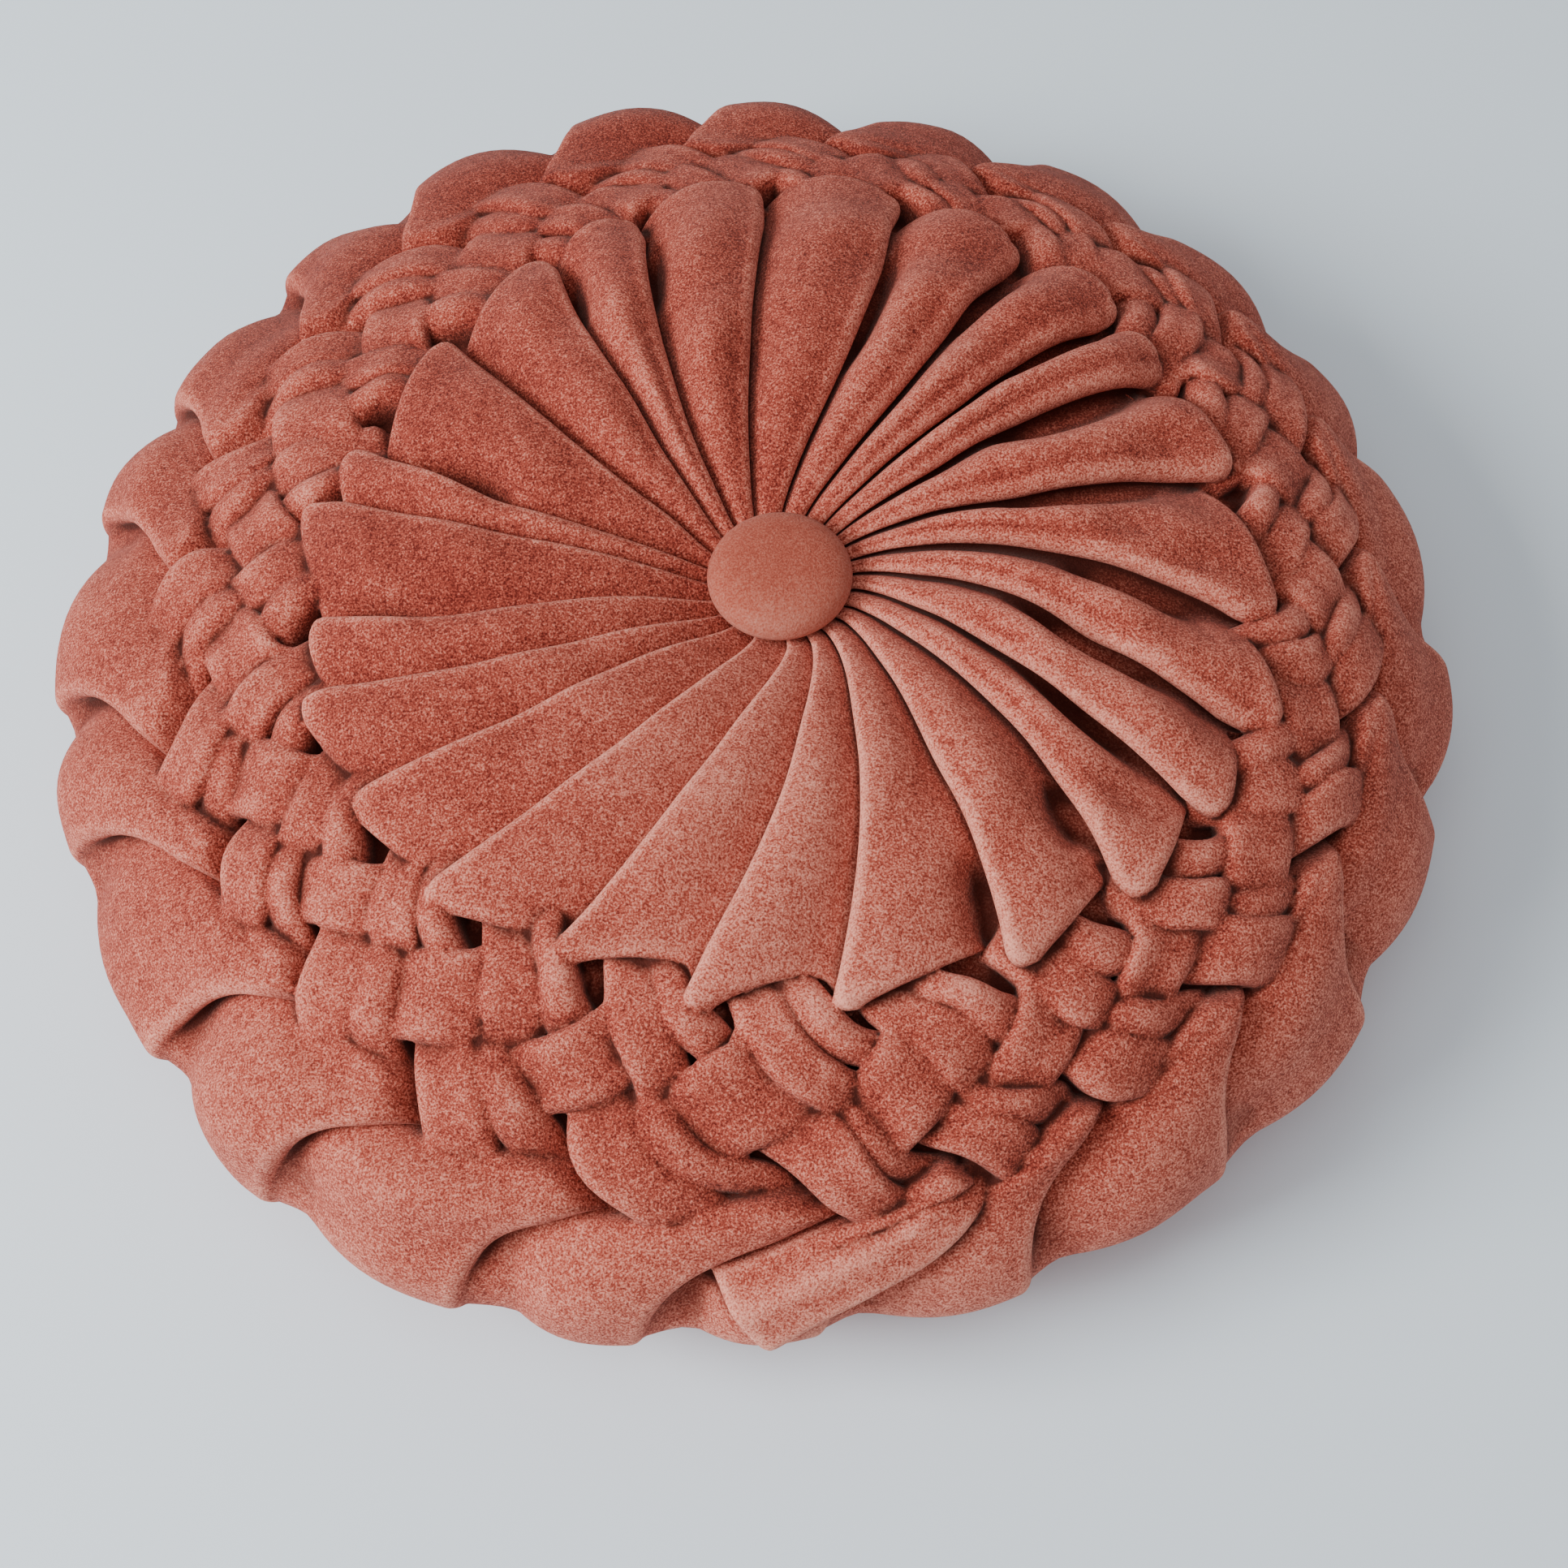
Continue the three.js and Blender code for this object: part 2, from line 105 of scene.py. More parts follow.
# Pleats of the face, clockwise from the near side. fold gives the angle of
# the fold at each of FOLD_REACHES, tip and heel the reach of the pleat's end
# at its fold and at its crease, arch how far the end bulges out between
# them, round how thick the fold is and plump how full the pleat's face is.
PLEAT_COUNT = 23
PITCH = 360 / PLEAT_COUNT
FOLD_REACHES = [20, 35, 50, 70, 90, 110, 130]
PLEATS = {
    "fold": [
        [-52, -61, -68, -73.5, -78, -82, -85.5],
        [-67, -77, -84.5, -90.3, -95.4, -99.6, -102.6],
        [-86, -97, -104.5, -110, -113.5, -116.7, -119.8],
        [-115, -121, -125, -128.5, -131.3, -133.8, -136],
        [-137, -142.5, -145.3, -146.4, -147.9, -149.7, -151.5],
        [-152, -155, -157, -158.6, -160.8, -163.4, -166],
        [-167, -169.7, -170.8, -170.9, -171.8, -173.5, -176.5],
        [-183, -185.5, -187, -188.6, -190.2, -191.8, -193.5],
        [-196, -195, -195, -195.6, -197.3, -199.6, -202],
        [-209, -213, -214, -216.4, -218.6, -220.4, -222],
        [-224, -228, -231, -234.5, -236, -237.7, -240],
        [-236, -239.5, -242, -245.5, -248.2, -250.5, -252.8],
        [-252, -257.5, -261, -264.3, -266.4, -268, -269.3],
        [-271, -278.5, -283.3, -286.7, -287.8, -287.7, -286.8],
        [-287, -295, -299.5, -302.5, -303.2, -303.4, -304.2],
        [-302, -309, -312.5, -315.5, -316.6, -317.6, -319.4],
        [-315, -321, -324.5, -326.2, -327.8, -329, -330.3],
        [-326, -334, -338.5, -343.2, -345, -346, -347.4],
        [-339, -347, -352, -357.4, -361.6, -365.2, -368.2],
        [-351, -361, -366, -372, -376.9, -380.3, -382.5],
        [-365, -376, -382, -387.6, -390.8, -392.9, -394.7],
        [-381, -390, -395, -399.2, -402.4, -405.6, -408.6],
        [-395, -405.5, -411.5, -417, -419.6, -422, -424.7],
    ],
    "tip": [
        133, 134, 132, 137, 137, 139, 134, 142, 136, 133, 140, 143, 150, 149, 141, 141, 137, 137, 141,
        146, 142, 139, 136,
    ],
    "heel": [
        129, 125, 123, 129, 132, 133, 132, 133, 132, 126, 128, 136, 143, 146, 138, 134, 131, 132, 131,
        133, 136, 135, 131,
    ],
    "arch": [
        -2.5, -3.5, -3, -1, 0.5, 1, 1, 0.5, 0.5, 1, 2, 4, 4, 5, 6, 5, 2, 0.5, 0, 0, 0, -1, -1,
    ],
    "round": [
        1, 1, 1, 0.9, 0.9, 0.9, 0.9, 0.9, 1, 1, 1.1, 1.2, 1.2, 1.3, 1.5, 1.5, 1.6, 1.6, 1.5, 1.4, 1.2,
        1.2, 1.1,
    ],
    "plump": [
        0.3, 0.3, 0.25, 0.15, 0.1, 0.1, 0.1, 0.1, 0.15, 0.3, 0.6, 0.85, 1, 1, 1, 1, 1, 1, 0.9, 0.8,
        0.7, 0.6, 0.45,
    ],
}

# How a face pleat grows away from the button: the rounding of its fold and
# how far the cloth goes back under it, in mm
PLEAT_SECTION = {
    "reach": [17, 30, 60, 100, 150],
    "fold": [1.2, 1.7, 2.3, 2.8, 2.9],
    "undercut": [0.6, 1.2, 3.0, 4.0, 4.0],
}
# The rounding and the undercut are never more than these shares of the pleat
FOLD_SHARE = 0.27
UNDERCUT_SHARE = 0.25
# How far the cloth turns over the fold, in degrees
FACE_FOLD_TURN = 190
# A fold lies on the next pleat where the next one has dropped by about twice
# the rounding. Both drops are in roundings of the fold.
FACE_DROP = 2.1
CREASE_DROP = 3.0
# Crown in mm, and how soon the face rises from its crease, of a flat and of a
# full pleat. The crown grows between two reaches.
FACE_CROWN = [0.7, 3.0]
FACE_RISE = [1.35, 3.2]
FACE_CROWN_REACHES = (25, 80)
MOST_SLANT = 1.6
# Along the face, round the end and down under it: the rings, how far back
# under the end the last ones lie and how deep, in mm
PLEAT_START = 17
FACE_RINGS = 84
END_RINGS = 5
PLEAT_END_ROUND = 2.8
PLEAT_END_BACK = [0.3, 2, 6]
PLEAT_END_DROP = [PLEAT_END_ROUND + 2, PLEAT_END_ROUND + 5, -CHANNEL_LIFT]
# Between these shares of its width a pleat's end runs from heel to tip
PLEAT_END_SHARES = (0.1, 0.95)
PLEAT_END_POWER = 1.3
# Radius of the tip's corner of a flat pleat and of a full one. Any pleat
# whose plump times FULL_TIP reaches 1 has the second.
TIP_RADII = [3.8, 5.2]
FULL_TIP = 1.6

# Pockets where a fold stands off the next pleat: the pleat whose fold it is,
# the middle and half length of the pocket in reach, how far the fold is
# raised, how deep the next pleat sinks and how wide the pocket is, in mm
POCKETS = [
    (6, 118, 15, 1, 6, 7), (8, 102, 20, 3, 9, 12), (10, 122, 14, 1, 7, 7), (11, 118, 16, 1, 7, 7),
    (13, 96, 28, 1, 8, 7), (14, 118, 22, 1, 7, 9), (15, 112, 22, 1, 7, 8), (16, 104, 30, 2, 11, 14),
    (17, 96, 30, 1, 10, 9), (18, 108, 26, 1, 8, 9), (19, 92, 30, 0, 8, 7), (20, 100, 30, 0, 6, 7),
    (21, 113, 13, 1, 9, 9), (22, 122, 18, 2, 7, 8),
]

# Dents pressed into the pleats: the angle and the reach, how wide they are
# and how deep, in mm. They are twice as long along the pleat.
DENTS = [
    (-174, 86, 7, 2.2), (-355, 100, 6, 4), (-360.5, 119, 6.5, 3.5), (-373, 108, 6, 3), (-378, 86, 5.5, 2.6),
    (-399.5, 115, 6.5, 4), (-341, 122, 6.5, 3), (-222, 112, 7, 2), (-113, 116, 8, 1.2), (-143, 92, 8, 1.0),
]

# Rows of smocked bands on the cloth laid flat, where x is an arc of 2.7 mm
# for each degree and y the reach: the middle of the first band, its two half
# sides, how high it stands in the channel, in mm, its ridges, and the share by
# which it follows the ends of the pleats
ARC_LENGTH = 2.7
MEAN_PLEAT_END = 129
BAND_ROWS = [
    {"angle": -88.5, "reach": 141, "along": (13.5, 17), "across": (-10.3, 6.2), "height": 12.5,
     "ridges": ("near_inner", "far_inner"), "follow": 0.8},
    {"angle": -96.9, "reach": 155, "along": (-16.2, 13.5), "across": (-9.2, -6.6), "height": 12.5,
     "ridges": ("wide",), "follow": 0.4},
    {"angle": -87.3, "reach": 170, "along": (14, 15), "across": (-10.3, 6.2), "height": 12.5,
     "ridges": ("near_outer", "far_outer"), "follow": 0.1},
]

# Ridges of cloth that a band is made of. along and across place the middle
# line in shares of the band's half sides, half_width is in mm and height a
# share of the band's own. A band is high where it crosses over the others and
# low where it goes under them.
RIDGES = {
    "near_inner": {
        "along": [-1.15, -0.55, -0.1, 0.35, 0.7, 1.15], "across": [0.34, 0.38, 0.42, 0.44, 0.44, 0.38],
        "half_width": [9.2, 9.0, 8.7, 8.3, 7.9, 7.4], "height": [0.48, 0.76, 0.98, 0.96, 0.68, 0.35],
        "dome": 4.9, "power": 2.9, "dent": 1.2,
    },
    "far_inner": {
        "along": [-1.15, -0.55, -0.1, 0.3, 0.6, 0.85], "across": [-0.5, -0.52, -0.58, -0.72, -1.0, -1.45],
        "half_width": [7.6, 7.2, 6.6, 6.3, 6.2, 6.2], "height": [0.48, 0.74, 0.97, 0.92, 0.7, 0.4],
        "dome": 5.6, "power": 2.1, "dent": 0.2,
    },
    "wide": {
        "along": [-1.3, -0.85, -0.4, 0.1, 0.55, 1.1], "across": [0.1, 0.02, 0, 0.03, 0, -0.04],
        "half_width": [13.0, 12.6, 12.0, 11.6, 11.2, 10.8], "height": [0.42, 0.7, 0.97, 1.0, 0.7, 0.4],
        "dome": 4.8, "power": 3.2, "dent": 1.9,
    },
    "near_outer": {
        "along": [-1.3, -0.85, -0.3, 0.3, 0.85, 1.3], "across": [0.36, 0.38, 0.42, 0.44, 0.4, 0.3],
        "half_width": [9.0, 8.8, 8.6, 8.4, 8.0, 7.4], "height": [0.35, 0.62, 0.98, 1.0, 0.7, 0.35],
        "dome": 4.9, "power": 2.9, "dent": 1.2,
    },
    "far_outer": {
        "along": [-1.3, -0.85, -0.3, 0.25, 0.7, 1.1], "across": [-0.5, -0.52, -0.58, -0.66, -0.78, -0.9],
        "half_width": [7.4, 7.0, 6.6, 6.4, 6.4, 6.4], "height": [0.35, 0.62, 0.96, 0.93, 0.58, 0.2],
        "dome": 5.6, "power": 2.1, "dent": 0.2,
    },
}
RIDGE_RINGS = 22
RIDGE_COLUMNS = 15
# A ridge's foot lies this far under the channel, at these shares of its width
RIDGE_FOOT = 7
RIDGE_FOOT_SHARES = [0.8, 0, -0.8]
# How one ridge differs from the next: in how far it sways, as a share of the
# band's half side, in width, in height, in how far it leans and in its dent
RIDGE_SWAY = 0.05
RIDGE_WIDTHS = (0.92, 1.08)
RIDGE_HEIGHTS = (0.93, 1.05)
RIDGE_LEAN = 1.3
RIDGE_DENTS = (0.3, 1.2)
BAND_KINDS = 5
BAND_TURN = 0.05
BAND_SIZE = 0.05
KIND_SEED = 20
PLACE_SEED = 11
# The bands follow the rim folds' starts more and more from this reach on
FOLLOW_START = 135
FOLLOW_LENGTH = 50
MOST_FOLLOW = 1.15

# Rim pleats. The fold of each starts at an angle and a reach, runs clockwise
# along the smocking and bends outwards: slant is how far it runs in all, in
# degrees, and length how soon it bends, in mm. It lies over the next pleat
# near the smocking, and further out stands off it over a hollow as wide as
# valley. RIM_ANGLE and MEAN_RIM_START are where evenly set folds would start,
# and RIM_SECTION gives at several reaches what pleat_section takes.
RIM_ANGLE = -88.5
MEAN_RIM_START = 184
RIM_FOLDS = {
    "angle": [
        -82, -101.8, -119.8, -135.5, -150.2, -164.8, -184.2, -198, -213.5, -228.5, -244.5, -260, -275,
        -291, -306, -322.5, -337, -353, -368.5, -385.5, -402, -418.8, -431.5,
    ],
    "reach": [
        189, 190, 186, 178, 178, 182, 180, 182, 181, 183, 182, 181, 183, 182, 181, 183, 182, 181, 183,
        182, 183, 183, 188,
    ],
    "slant": [
        17, 10.5, 9.3, 8, 13, 12.3, 10.5, 9.5, 10, 10, 9.5, 9.5, 9, 8.5, 9.5, 9.5, 9, 10, 9.5, 10, 10,
        11, 14,
    ],
    "length": [
        11, 8, 8, 9, 13, 12, 12, 11, 10, 12, 10, 12, 10, 11, 10, 12, 11, 10, 12, 11, 10, 11, 12,
    ],
}
RIM_SECTION = {
    "reach": [170, 186, 197, 208, 220, 234, 250, 276],
    "depth": [9, 9.5, 9.5, 9, 8, 5.5, 3, 0],
    "fold": [2.8, 3.2, 3.6, 4.4, 5, 4.5, 2.5, 0.5],
    "turn": [190, 190, 170, 125, 85, 65, 50, 40],
    "undercut": [5, 5, 3, -2, -7, -9, -8, -6],
    "valley": [0, 0, 2, 7, 12, 14, 14, 12],
    "crown": [1, 1.5, 2, 2.2, 1.6, 0.8, 0, 0],
    "rise": [1.4, 1.5, 1.9, 2.4, 2.8, 3, 2.5, 2],
}
# Uneven fullness of the single pleats, as a share
RIM_PLEAT_FULLNESS = (0.8, 1.15)
RIM_PLEAT_SEED = 3
# The next pleat has dropped under the fold by two roundings, or by this share
# of the crease's depth where that is less
RIM_DROP_SHARE = 0.8
RIM_MOST_LIFT = 2
# How far past its fold's start a rim pleat rises out of the channel and
# covers the ends of the bands, by the share of the pleat clockwise from its
# fold, in mm
RIM_ENTRY = {"share": [0, 0.1, 0.36, 0.7, 1], "reach": [2, -1, -11, -8, 0]}
RIM_ENTRY_ROUND = 4.5
# Reaches of the rim's rings: close at the smocking and wider towards the back
RIM_RINGS = np.concatenate([
    np.linspace(165.6, 195, 34),
    np.linspace(195, 240, 34)[1:],
    np.linspace(240, 268, 14)[1:],
])
# How much fuller or slimmer the rim is than its plain section, in mm, round
# the cushion. It comes in between the first reaches and goes out between the
# last.
RIM_FULLNESS = {
    "angle": [0, 25, 60, 78, 96, 120, 143, 160, 185, 198, 212, 228, 240, 255, 278, 300, 360],
    "lift": [-1.5, -2.5, 0.5, 0.5, 6, 4.5, -1, 1.5, 1, -0.5, -2, 4.5, 3.5, 1, -4, 0, -1.5],
}
FULLNESS_IN = (182, 200)
FULLNESS_OUT = (232, 262)
# The columns of a face pleat carry on in the rim pleat that is counted this
# many before it
RIM_LEAD = 3
BACK_RADIUS = 120
BACK_RINGS = 5

# One rim pleat at the front is not tucked in and ends in a free corner: its
# fold from the smocking to the corner, the line where it goes under the next
# pleat, and how far it lies above the plain rim, in mm
LOOSE_PLEAT = {
    "fold_angle": [-69.5, -73.5, -76.8, -81, -85.8, -89.8],
    "fold_reach": [187, 198, 205.5, 210.5, 217, 226],
    "tuck_angle": [-75, -79.5, -83, -87, -91, -94.5],
    "tuck_reach": [178, 184, 189, 194, 200, 203],
    "lift": [-9, 0, 1.5, 3, 4, 4.5],
}
LOOSE_ROUND = 3.2
LOOSE_LENGTH = 70
LOOSE_WIDTH = 24
# How far its tucked half dives, and the lift of its foot
LOOSE_DIVE = 9
LOOSE_FOOT = -16
LOOSE_RINGS = 60
LOOSE_COLUMNS = 26
LOOSE_FOOT_STEP = 5
# Rings lie closer at the corner and columns closer at the fold
LOOSE_RING_POWER = 0.9
LOOSE_COLUMN_POWER = 1.3

# The button's section: shares of its radius, and heights in mm
BUTTON_RADIUS = 20
BUTTON_SHARES = [0, 0.55, 0.86, 0.96, 1.0, 0.985, 0.93, 0.83, 0.68, 0.5, 0.3, 0.12, 0]
BUTTON_HEIGHTS = [-0.6, -0.6, 0.0, 1.6, 3.6, 5.4, 7.3, 8.9, 10.2, 11.0, 11.45, 11.6, 11.6]
BUTTON_RINGS = 49
BUTTON_COLUMNS = 96
# The pleats run together this far below the middle of the face
SEAT_DEPTH = 3

# Taking out one lone corner can leave another, so it is done this often
LONE_CORNER_ROUNDS = 4
SOFTEN_ROUNDS = 2
SOFTEN_SHARE = 0.5

# A fold of this radius, in mm, counts as a crest or a crease: crests are given
# a painted highlight and creases painted shade. Each is spread over its
# neighbours for so many rounds. Shorter edges than SHORT_EDGE count as that
# long, and no fold counts for more than FOLD_LIMIT.
FOLD_RADIUS = 5
SHORT_EDGE = 0.3
FOLD_LIMIT = 2
CREST_ROUNDS = 6
CREASE_ROUNDS = 3
SPREAD_SHARE = 0.7

# Painted light and shade by side, on the face, the smocking and the rim, by
# angle round the button: 1 paints the colour lighter and -1 darker. It sets in
# between the first radii below, and the other radii are where one runs into the
# next.
SIDE_SHADE_ANGLES = [0, 45, 90, 135, 180, 215, 250, 275, 310, 360]
FACE_SIDE_SHADE = [-0.2, -0.5, -0.9, -0.9, -1.2, -0.4, 0.8, 1.1, 0.4, -0.2]
SMOCKING_SIDE_SHADE = [0.4, -0.1, -1.0, -0.7, 0, -0.1, -0.3, -0.4, 0.1, 0.4]
RIM_SIDE_SHADE = [0.4, -0.2, -1.2, -1.1, 0, 0.4, 1, 1, 0.9, 0.4]
SIDE_SHADE_RADII = (0, 30)
SMOCKING_RADII = (125, 140)
RIM_RADII = (168, 184)

# Velvet: its three noises, how much each one and each stored value adds to
# the tone, and the tones between which one colour runs into the next. The
# stored values add a painted highlight on crests and painted light and shade by
# side, and the crease value mixes in painted shade.
PILE = {"scale": 1650, "detail": 3, "roughness": 0.7}
CLUMPS = {"scale": 300, "detail": 2, "roughness": 0.5}
PATCHES = {"scale": 18, "detail": 3, "roughness": 0.5}
PILE_TONE = 2.2
CLUMP_TONE = 0.35
PATCH_TONE = 0.4
MIDDLE_TONE = 0.4
CREST_HIGHLIGHT_TONE = 0.62
SIDE_SHADE_TONE = 0.14
DEEP_TO_BODY = (0.0, 0.5)
BODY_TO_LIGHT = (0.45, 1.1)
CREASE_SHADE_RANGE = (0.1, 0.6)
CREASE_SHADE_SHARE = 0.95
PILE_BUMP = 0.8
BUMP_STRENGTH = 0.5
# Deep, Body and Light follow the grain's tone and also the painted highlight on crests and the painted
# light and shade by side; the last colour is painted shade in the creases, here and on the button
COVER_LOOK = {
    "Deep": (0.12, 0.010, 0.007, 1),
    "Body": (0.45, 0.076, 0.046, 1),
    "Light": (0.98, 0.37, 0.26, 1),
    "Crease": (0.06, 0.01, 0.006, 1),
    "Grain": 1.15,
}
BUTTON_LOOK = {
    "Deep": (0.22, 0.028, 0.016, 1),
    "Body": (0.42, 0.09, 0.055, 1),
    "Light": (0.62, 0.24, 0.17, 1),
    "Crease": (0.06, 0.01, 0.006, 1),
    "Grain": 0.7,
}
VELVET_SURFACE = {
    "Roughness": 0.9,
    "Specular IOR Level": 0.15,
    "Sheen Weight": 0.15,
    "Sheen Roughness": 0.4,
    "Sheen Tint": (1.0, 0.72, 0.62, 1),
}

# The photograph's view: the camera stands this far from the middle of the
# face, in mm, and looks a little past it. Angles are in degrees.
CAMERA = {
    "distance": 629.25, "height_angle": 57.825, "side_angle": -1.28, "roll": 3.11,
    "aim_right": -0.177, "aim_up": -5.165, "view_angle": 38.0,
}
FACE_HEIGHT = 93

# The room, in metres and watts
FLOOR_HALF = 6.0
FLOOR_COLOUR = (0.82, 0.885, 0.94, 1)
FLOOR_ROUGHNESS = 0.9
LIGHT_TARGET = (0, 0, 0.05)
LIGHTS = [
    {"name": "window", "place": (-1.4, -0.4, 1.1), "size": 0.9, "power": 46, "colour": (0.93, 0.98, 1.0)},
    {"name": "ceiling", "place": (-0.3, -0.6, 2.4), "size": 2.0, "power": 18, "colour": (0.97, 0.98, 1.0)},
]
SKY_COLOUR = (0.88, 0.93, 0.97, 1)
SKY_STRENGTH = 0.42


def smooth_through(xs, ys, x):
    """A smooth curve through points, flat beyond both ends."""
    xs = np.asarray(xs, float)
    ys = np.asarray(ys, float)
    x = np.clip(x, xs[0], xs[-1])
    left = np.clip(np.searchsorted(xs, x, side="right") - 1, 0, len(xs) - 2)
    before = np.maximum(left - 1, 0)
    after = np.minimum(left + 2, len(xs) - 1)
    span = xs[left + 1] - xs[left]
    start = (ys[left + 1] - ys[before]) / (xs[left + 1] - xs[before])
    end = (ys[after] - ys[left]) / (xs[after] - xs[left])
    t = (x - xs[left]) / span
    return (
        (2 * t**3 - 3 * t**2 + 1) * ys[left]
        + (t**3 - 2 * t**2 + t) * span * start
        + (3 * t**2 - 2 * t**3) * ys[left + 1]
        + (t**3 - t**2) * span * end
    )


def smooth_step(low, high, x):
    t = np.clip((np.asarray(x, float) - low) / (high - low), 0, 1)
    return t * t * (3 - 2 * t)


def blend(a, b, share):
    return a + (b - a) * share


def profile(reach):
    """Radius and height of the cushion's section at a reach."""
    return (
        smooth_through(PROFILE_REACHES, PROFILE_RADII, reach),
        smooth_through(PROFILE_REACHES, PROFILE_HEIGHTS, reach),
    )


def on_cover(reach, angle, lift, sideways=0):
    """Points at a reach and an angle, lifted out of the section and moved
    sideways, clockwise, by an arc."""
    radius, height = profile(reach)
    radius_before, height_before = profile(reach - 1)
    radius_after, height_after = profile(reach + 1)
    run = radius_after - radius_before
    fall = height_after - height_before
    length = np.hypot(run, fall)
    lifted_radius = radius - lift * fall / length
    lifted_height = height + lift * run / length
    turn = np.radians(angle) - sideways / np.maximum(radius, LEAST_RADIUS)
    shift = 1 - smooth_step(*SHIFT_REACHES, reach)
    return np.stack(
        [
            FACE_SHIFT[0] * shift + lifted_radius * np.cos(turn),
            FACE_SHIFT[1] * shift + lifted_radius * np.sin(turn),
            np.maximum(0, lifted_height),
        ],
        axis=-1,
    )


def pleat_section(width, pull, slant, depth, drop, fold, turn, undercut, valley, crown, rise):
    """Sideways places and lifts of one knife pleat's section, for each ring
    and column. The face rises from drop below the fold's top, the sooner the
    higher rise is. turn is how far the cloth turns over the fold, in degrees.
    pull draws the fold back into the pleat, and slant is how much longer a
    step across the pleat is sideways than square to it."""
    width, pull, slant, depth, drop, fold, turn, undercut, valley, crown, rise = (
        np.asarray(values, float)[:, None]
        for values in (width, pull, slant, depth, drop, fold, turn, undercut, valley, crown, rise)
    )
    spread = (0.5 - 0.5 * np.cos(math.pi * np.linspace(0, 1, FACE_COLUMNS)))[None]
    run = fold * slant
    face_x = valley + spread * (width - pull - run - valley)
    face_y = -drop * (1 - spread) ** rise + crown * np.sin(math.pi * spread)
    over = np.radians(turn) * np.linspace(0, 1, FOLD_COLUMNS + 1)[None, 1:]
    fold_x = width - pull - run + run * np.sin(over)
    fold_y = -fold * (1 - np.cos(over))
    under = (np.arange(UNDER_COLUMNS) + 1)[None] / UNDER_COLUMNS
    under_x = blend(fold_x[:, -1:], width - undercut * slant, under)
    under_y = blend(fold_y[:, -1:], -depth, under)
    return (
        np.concatenate([face_x, fold_x, under_x], axis=1),
        np.concatenate([face_y, fold_y, under_y], axis=1),
    )


def slant_of(angle, reach, radius):
    """How much a line is lengthened sideways by the slant that it runs at."""
    turn = np.gradient(np.radians(angle)) / np.gradient(reach)
    return np.sqrt(1 + (radius * turn) ** 2)


def fold_angle(pleat, reach):
    """The angle of a face pleat's fold. Pleats are counted on round and round."""
    turns, index = divmod(pleat, PLEAT_COUNT)
    return smooth_through(FOLD_REACHES, PLEATS["fold"][index], reach) - 360 * turns


def table_at(table, name, reach):
    return smooth_through(table["reach"], table[name], reach)


def waves(angle, reach, seed, size):
    """A slow uneven wave over the cover, between about -size and size."""
    rng = np.random.default_rng(seed)
    total = 0
    for _ in range(WAVE_COUNT):
        turns = rng.integers(*WAVE_TURNS)
        length = rng.uniform(*WAVE_LENGTHS)
        phase = rng.uniform(0, 2 * math.pi)
        total = total + np.sin(np.radians(angle) * turns + reach / length * 2 * math.pi + phase)
    return size * total / 3


def pocket_lift(pleat, reach, sideways, width):
    """How far the pockets raise or sink a pleat's section."""
    lift = np.zeros_like(sideways)
    for owner, middle, half, rise, sink, pocket_width in POCKETS:
        near = np.clip(1 - ((reach - middle) / half) ** 2, 0, 1)[:, None] ** 1.5
        if owner == pleat:
            lift = lift + rise * near * np.clip(sideways / width[:, None], 0, 1) ** 2
        if owner == (pleat - 1) % PLEAT_COUNT:
            into = np.clip(1 - sideways / pocket_width, 0, 1)
            lift = lift - sink * near * into * into * (3 - 2 * into)
    return lift


def dent_depth(angle, reach):
    """How deep the dents press the pleats at an angle and a reach."""
    depth = 0
    for dent_angle, dent_reach, size, deepest in DENTS:
        turn = (angle - dent_angle + 180) % 360 - 180
        across = np.radians(turn) * dent_reach / size
        along = (reach - dent_reach) / (2 * size)
        depth = depth + deepest * np.exp(-(across**2) - along**2)
    return depth


def pleat_end(pleat):
    """How far out each column of a face pleat goes."""
    share = np.concatenate([np.linspace(0, 1, FACE_COLUMNS), np.ones(FOLD_COLUMNS + UNDER_COLUMNS)])
    rise = smooth_step(*PLEAT_END_SHARES, share) ** PLEAT_END_POWER
    end = blend(PLEATS["heel"][pleat], PLEATS["tip"][pleat], rise)
    return end + PLEATS["arch"][pleat] * np.sin(math.pi * share)


def down_pleat(end):
    """Reaches of a face pleat's rings and how far each ring sinks: along the
    face, round the end and down under it."""
    along = np.linspace(0, 1, FACE_RINGS)[:, None]
    turn = np.linspace(0, math.pi / 2, END_RINGS + 1)[1:, None]
    flat = PLEAT_START + along * (end - PLEAT_END_ROUND - PLEAT_START)[None]
    rounded = end[None] - PLEAT_END_ROUND * (1 - np.sin(turn))
    down = end[None] - np.array(PLEAT_END_BACK)[:, None]
    sink = np.concatenate([
        np.zeros_like(flat),
        PLEAT_END_ROUND * (1 - np.cos(turn)) + 0 * rounded,
        np.array(PLEAT_END_DROP)[:, None] + 0 * down,
    ])
    return np.concatenate([flat, rounded, down]), sink


def tip_pull(pleat, reach):
    """How far a face pleat's fold is drawn in to round off its tip."""
    radius = blend(*TIP_RADII, min(1, FULL_TIP * PLEATS["plump"][pleat]))
    into_tip = np.clip((reach - PLEATS["tip"][pleat] + radius) / radius, 0, 1)
    into_tip[FACE_RINGS + END_RINGS:] = 1
    return radius * (1 - np.sqrt(1 - into_tip**2))


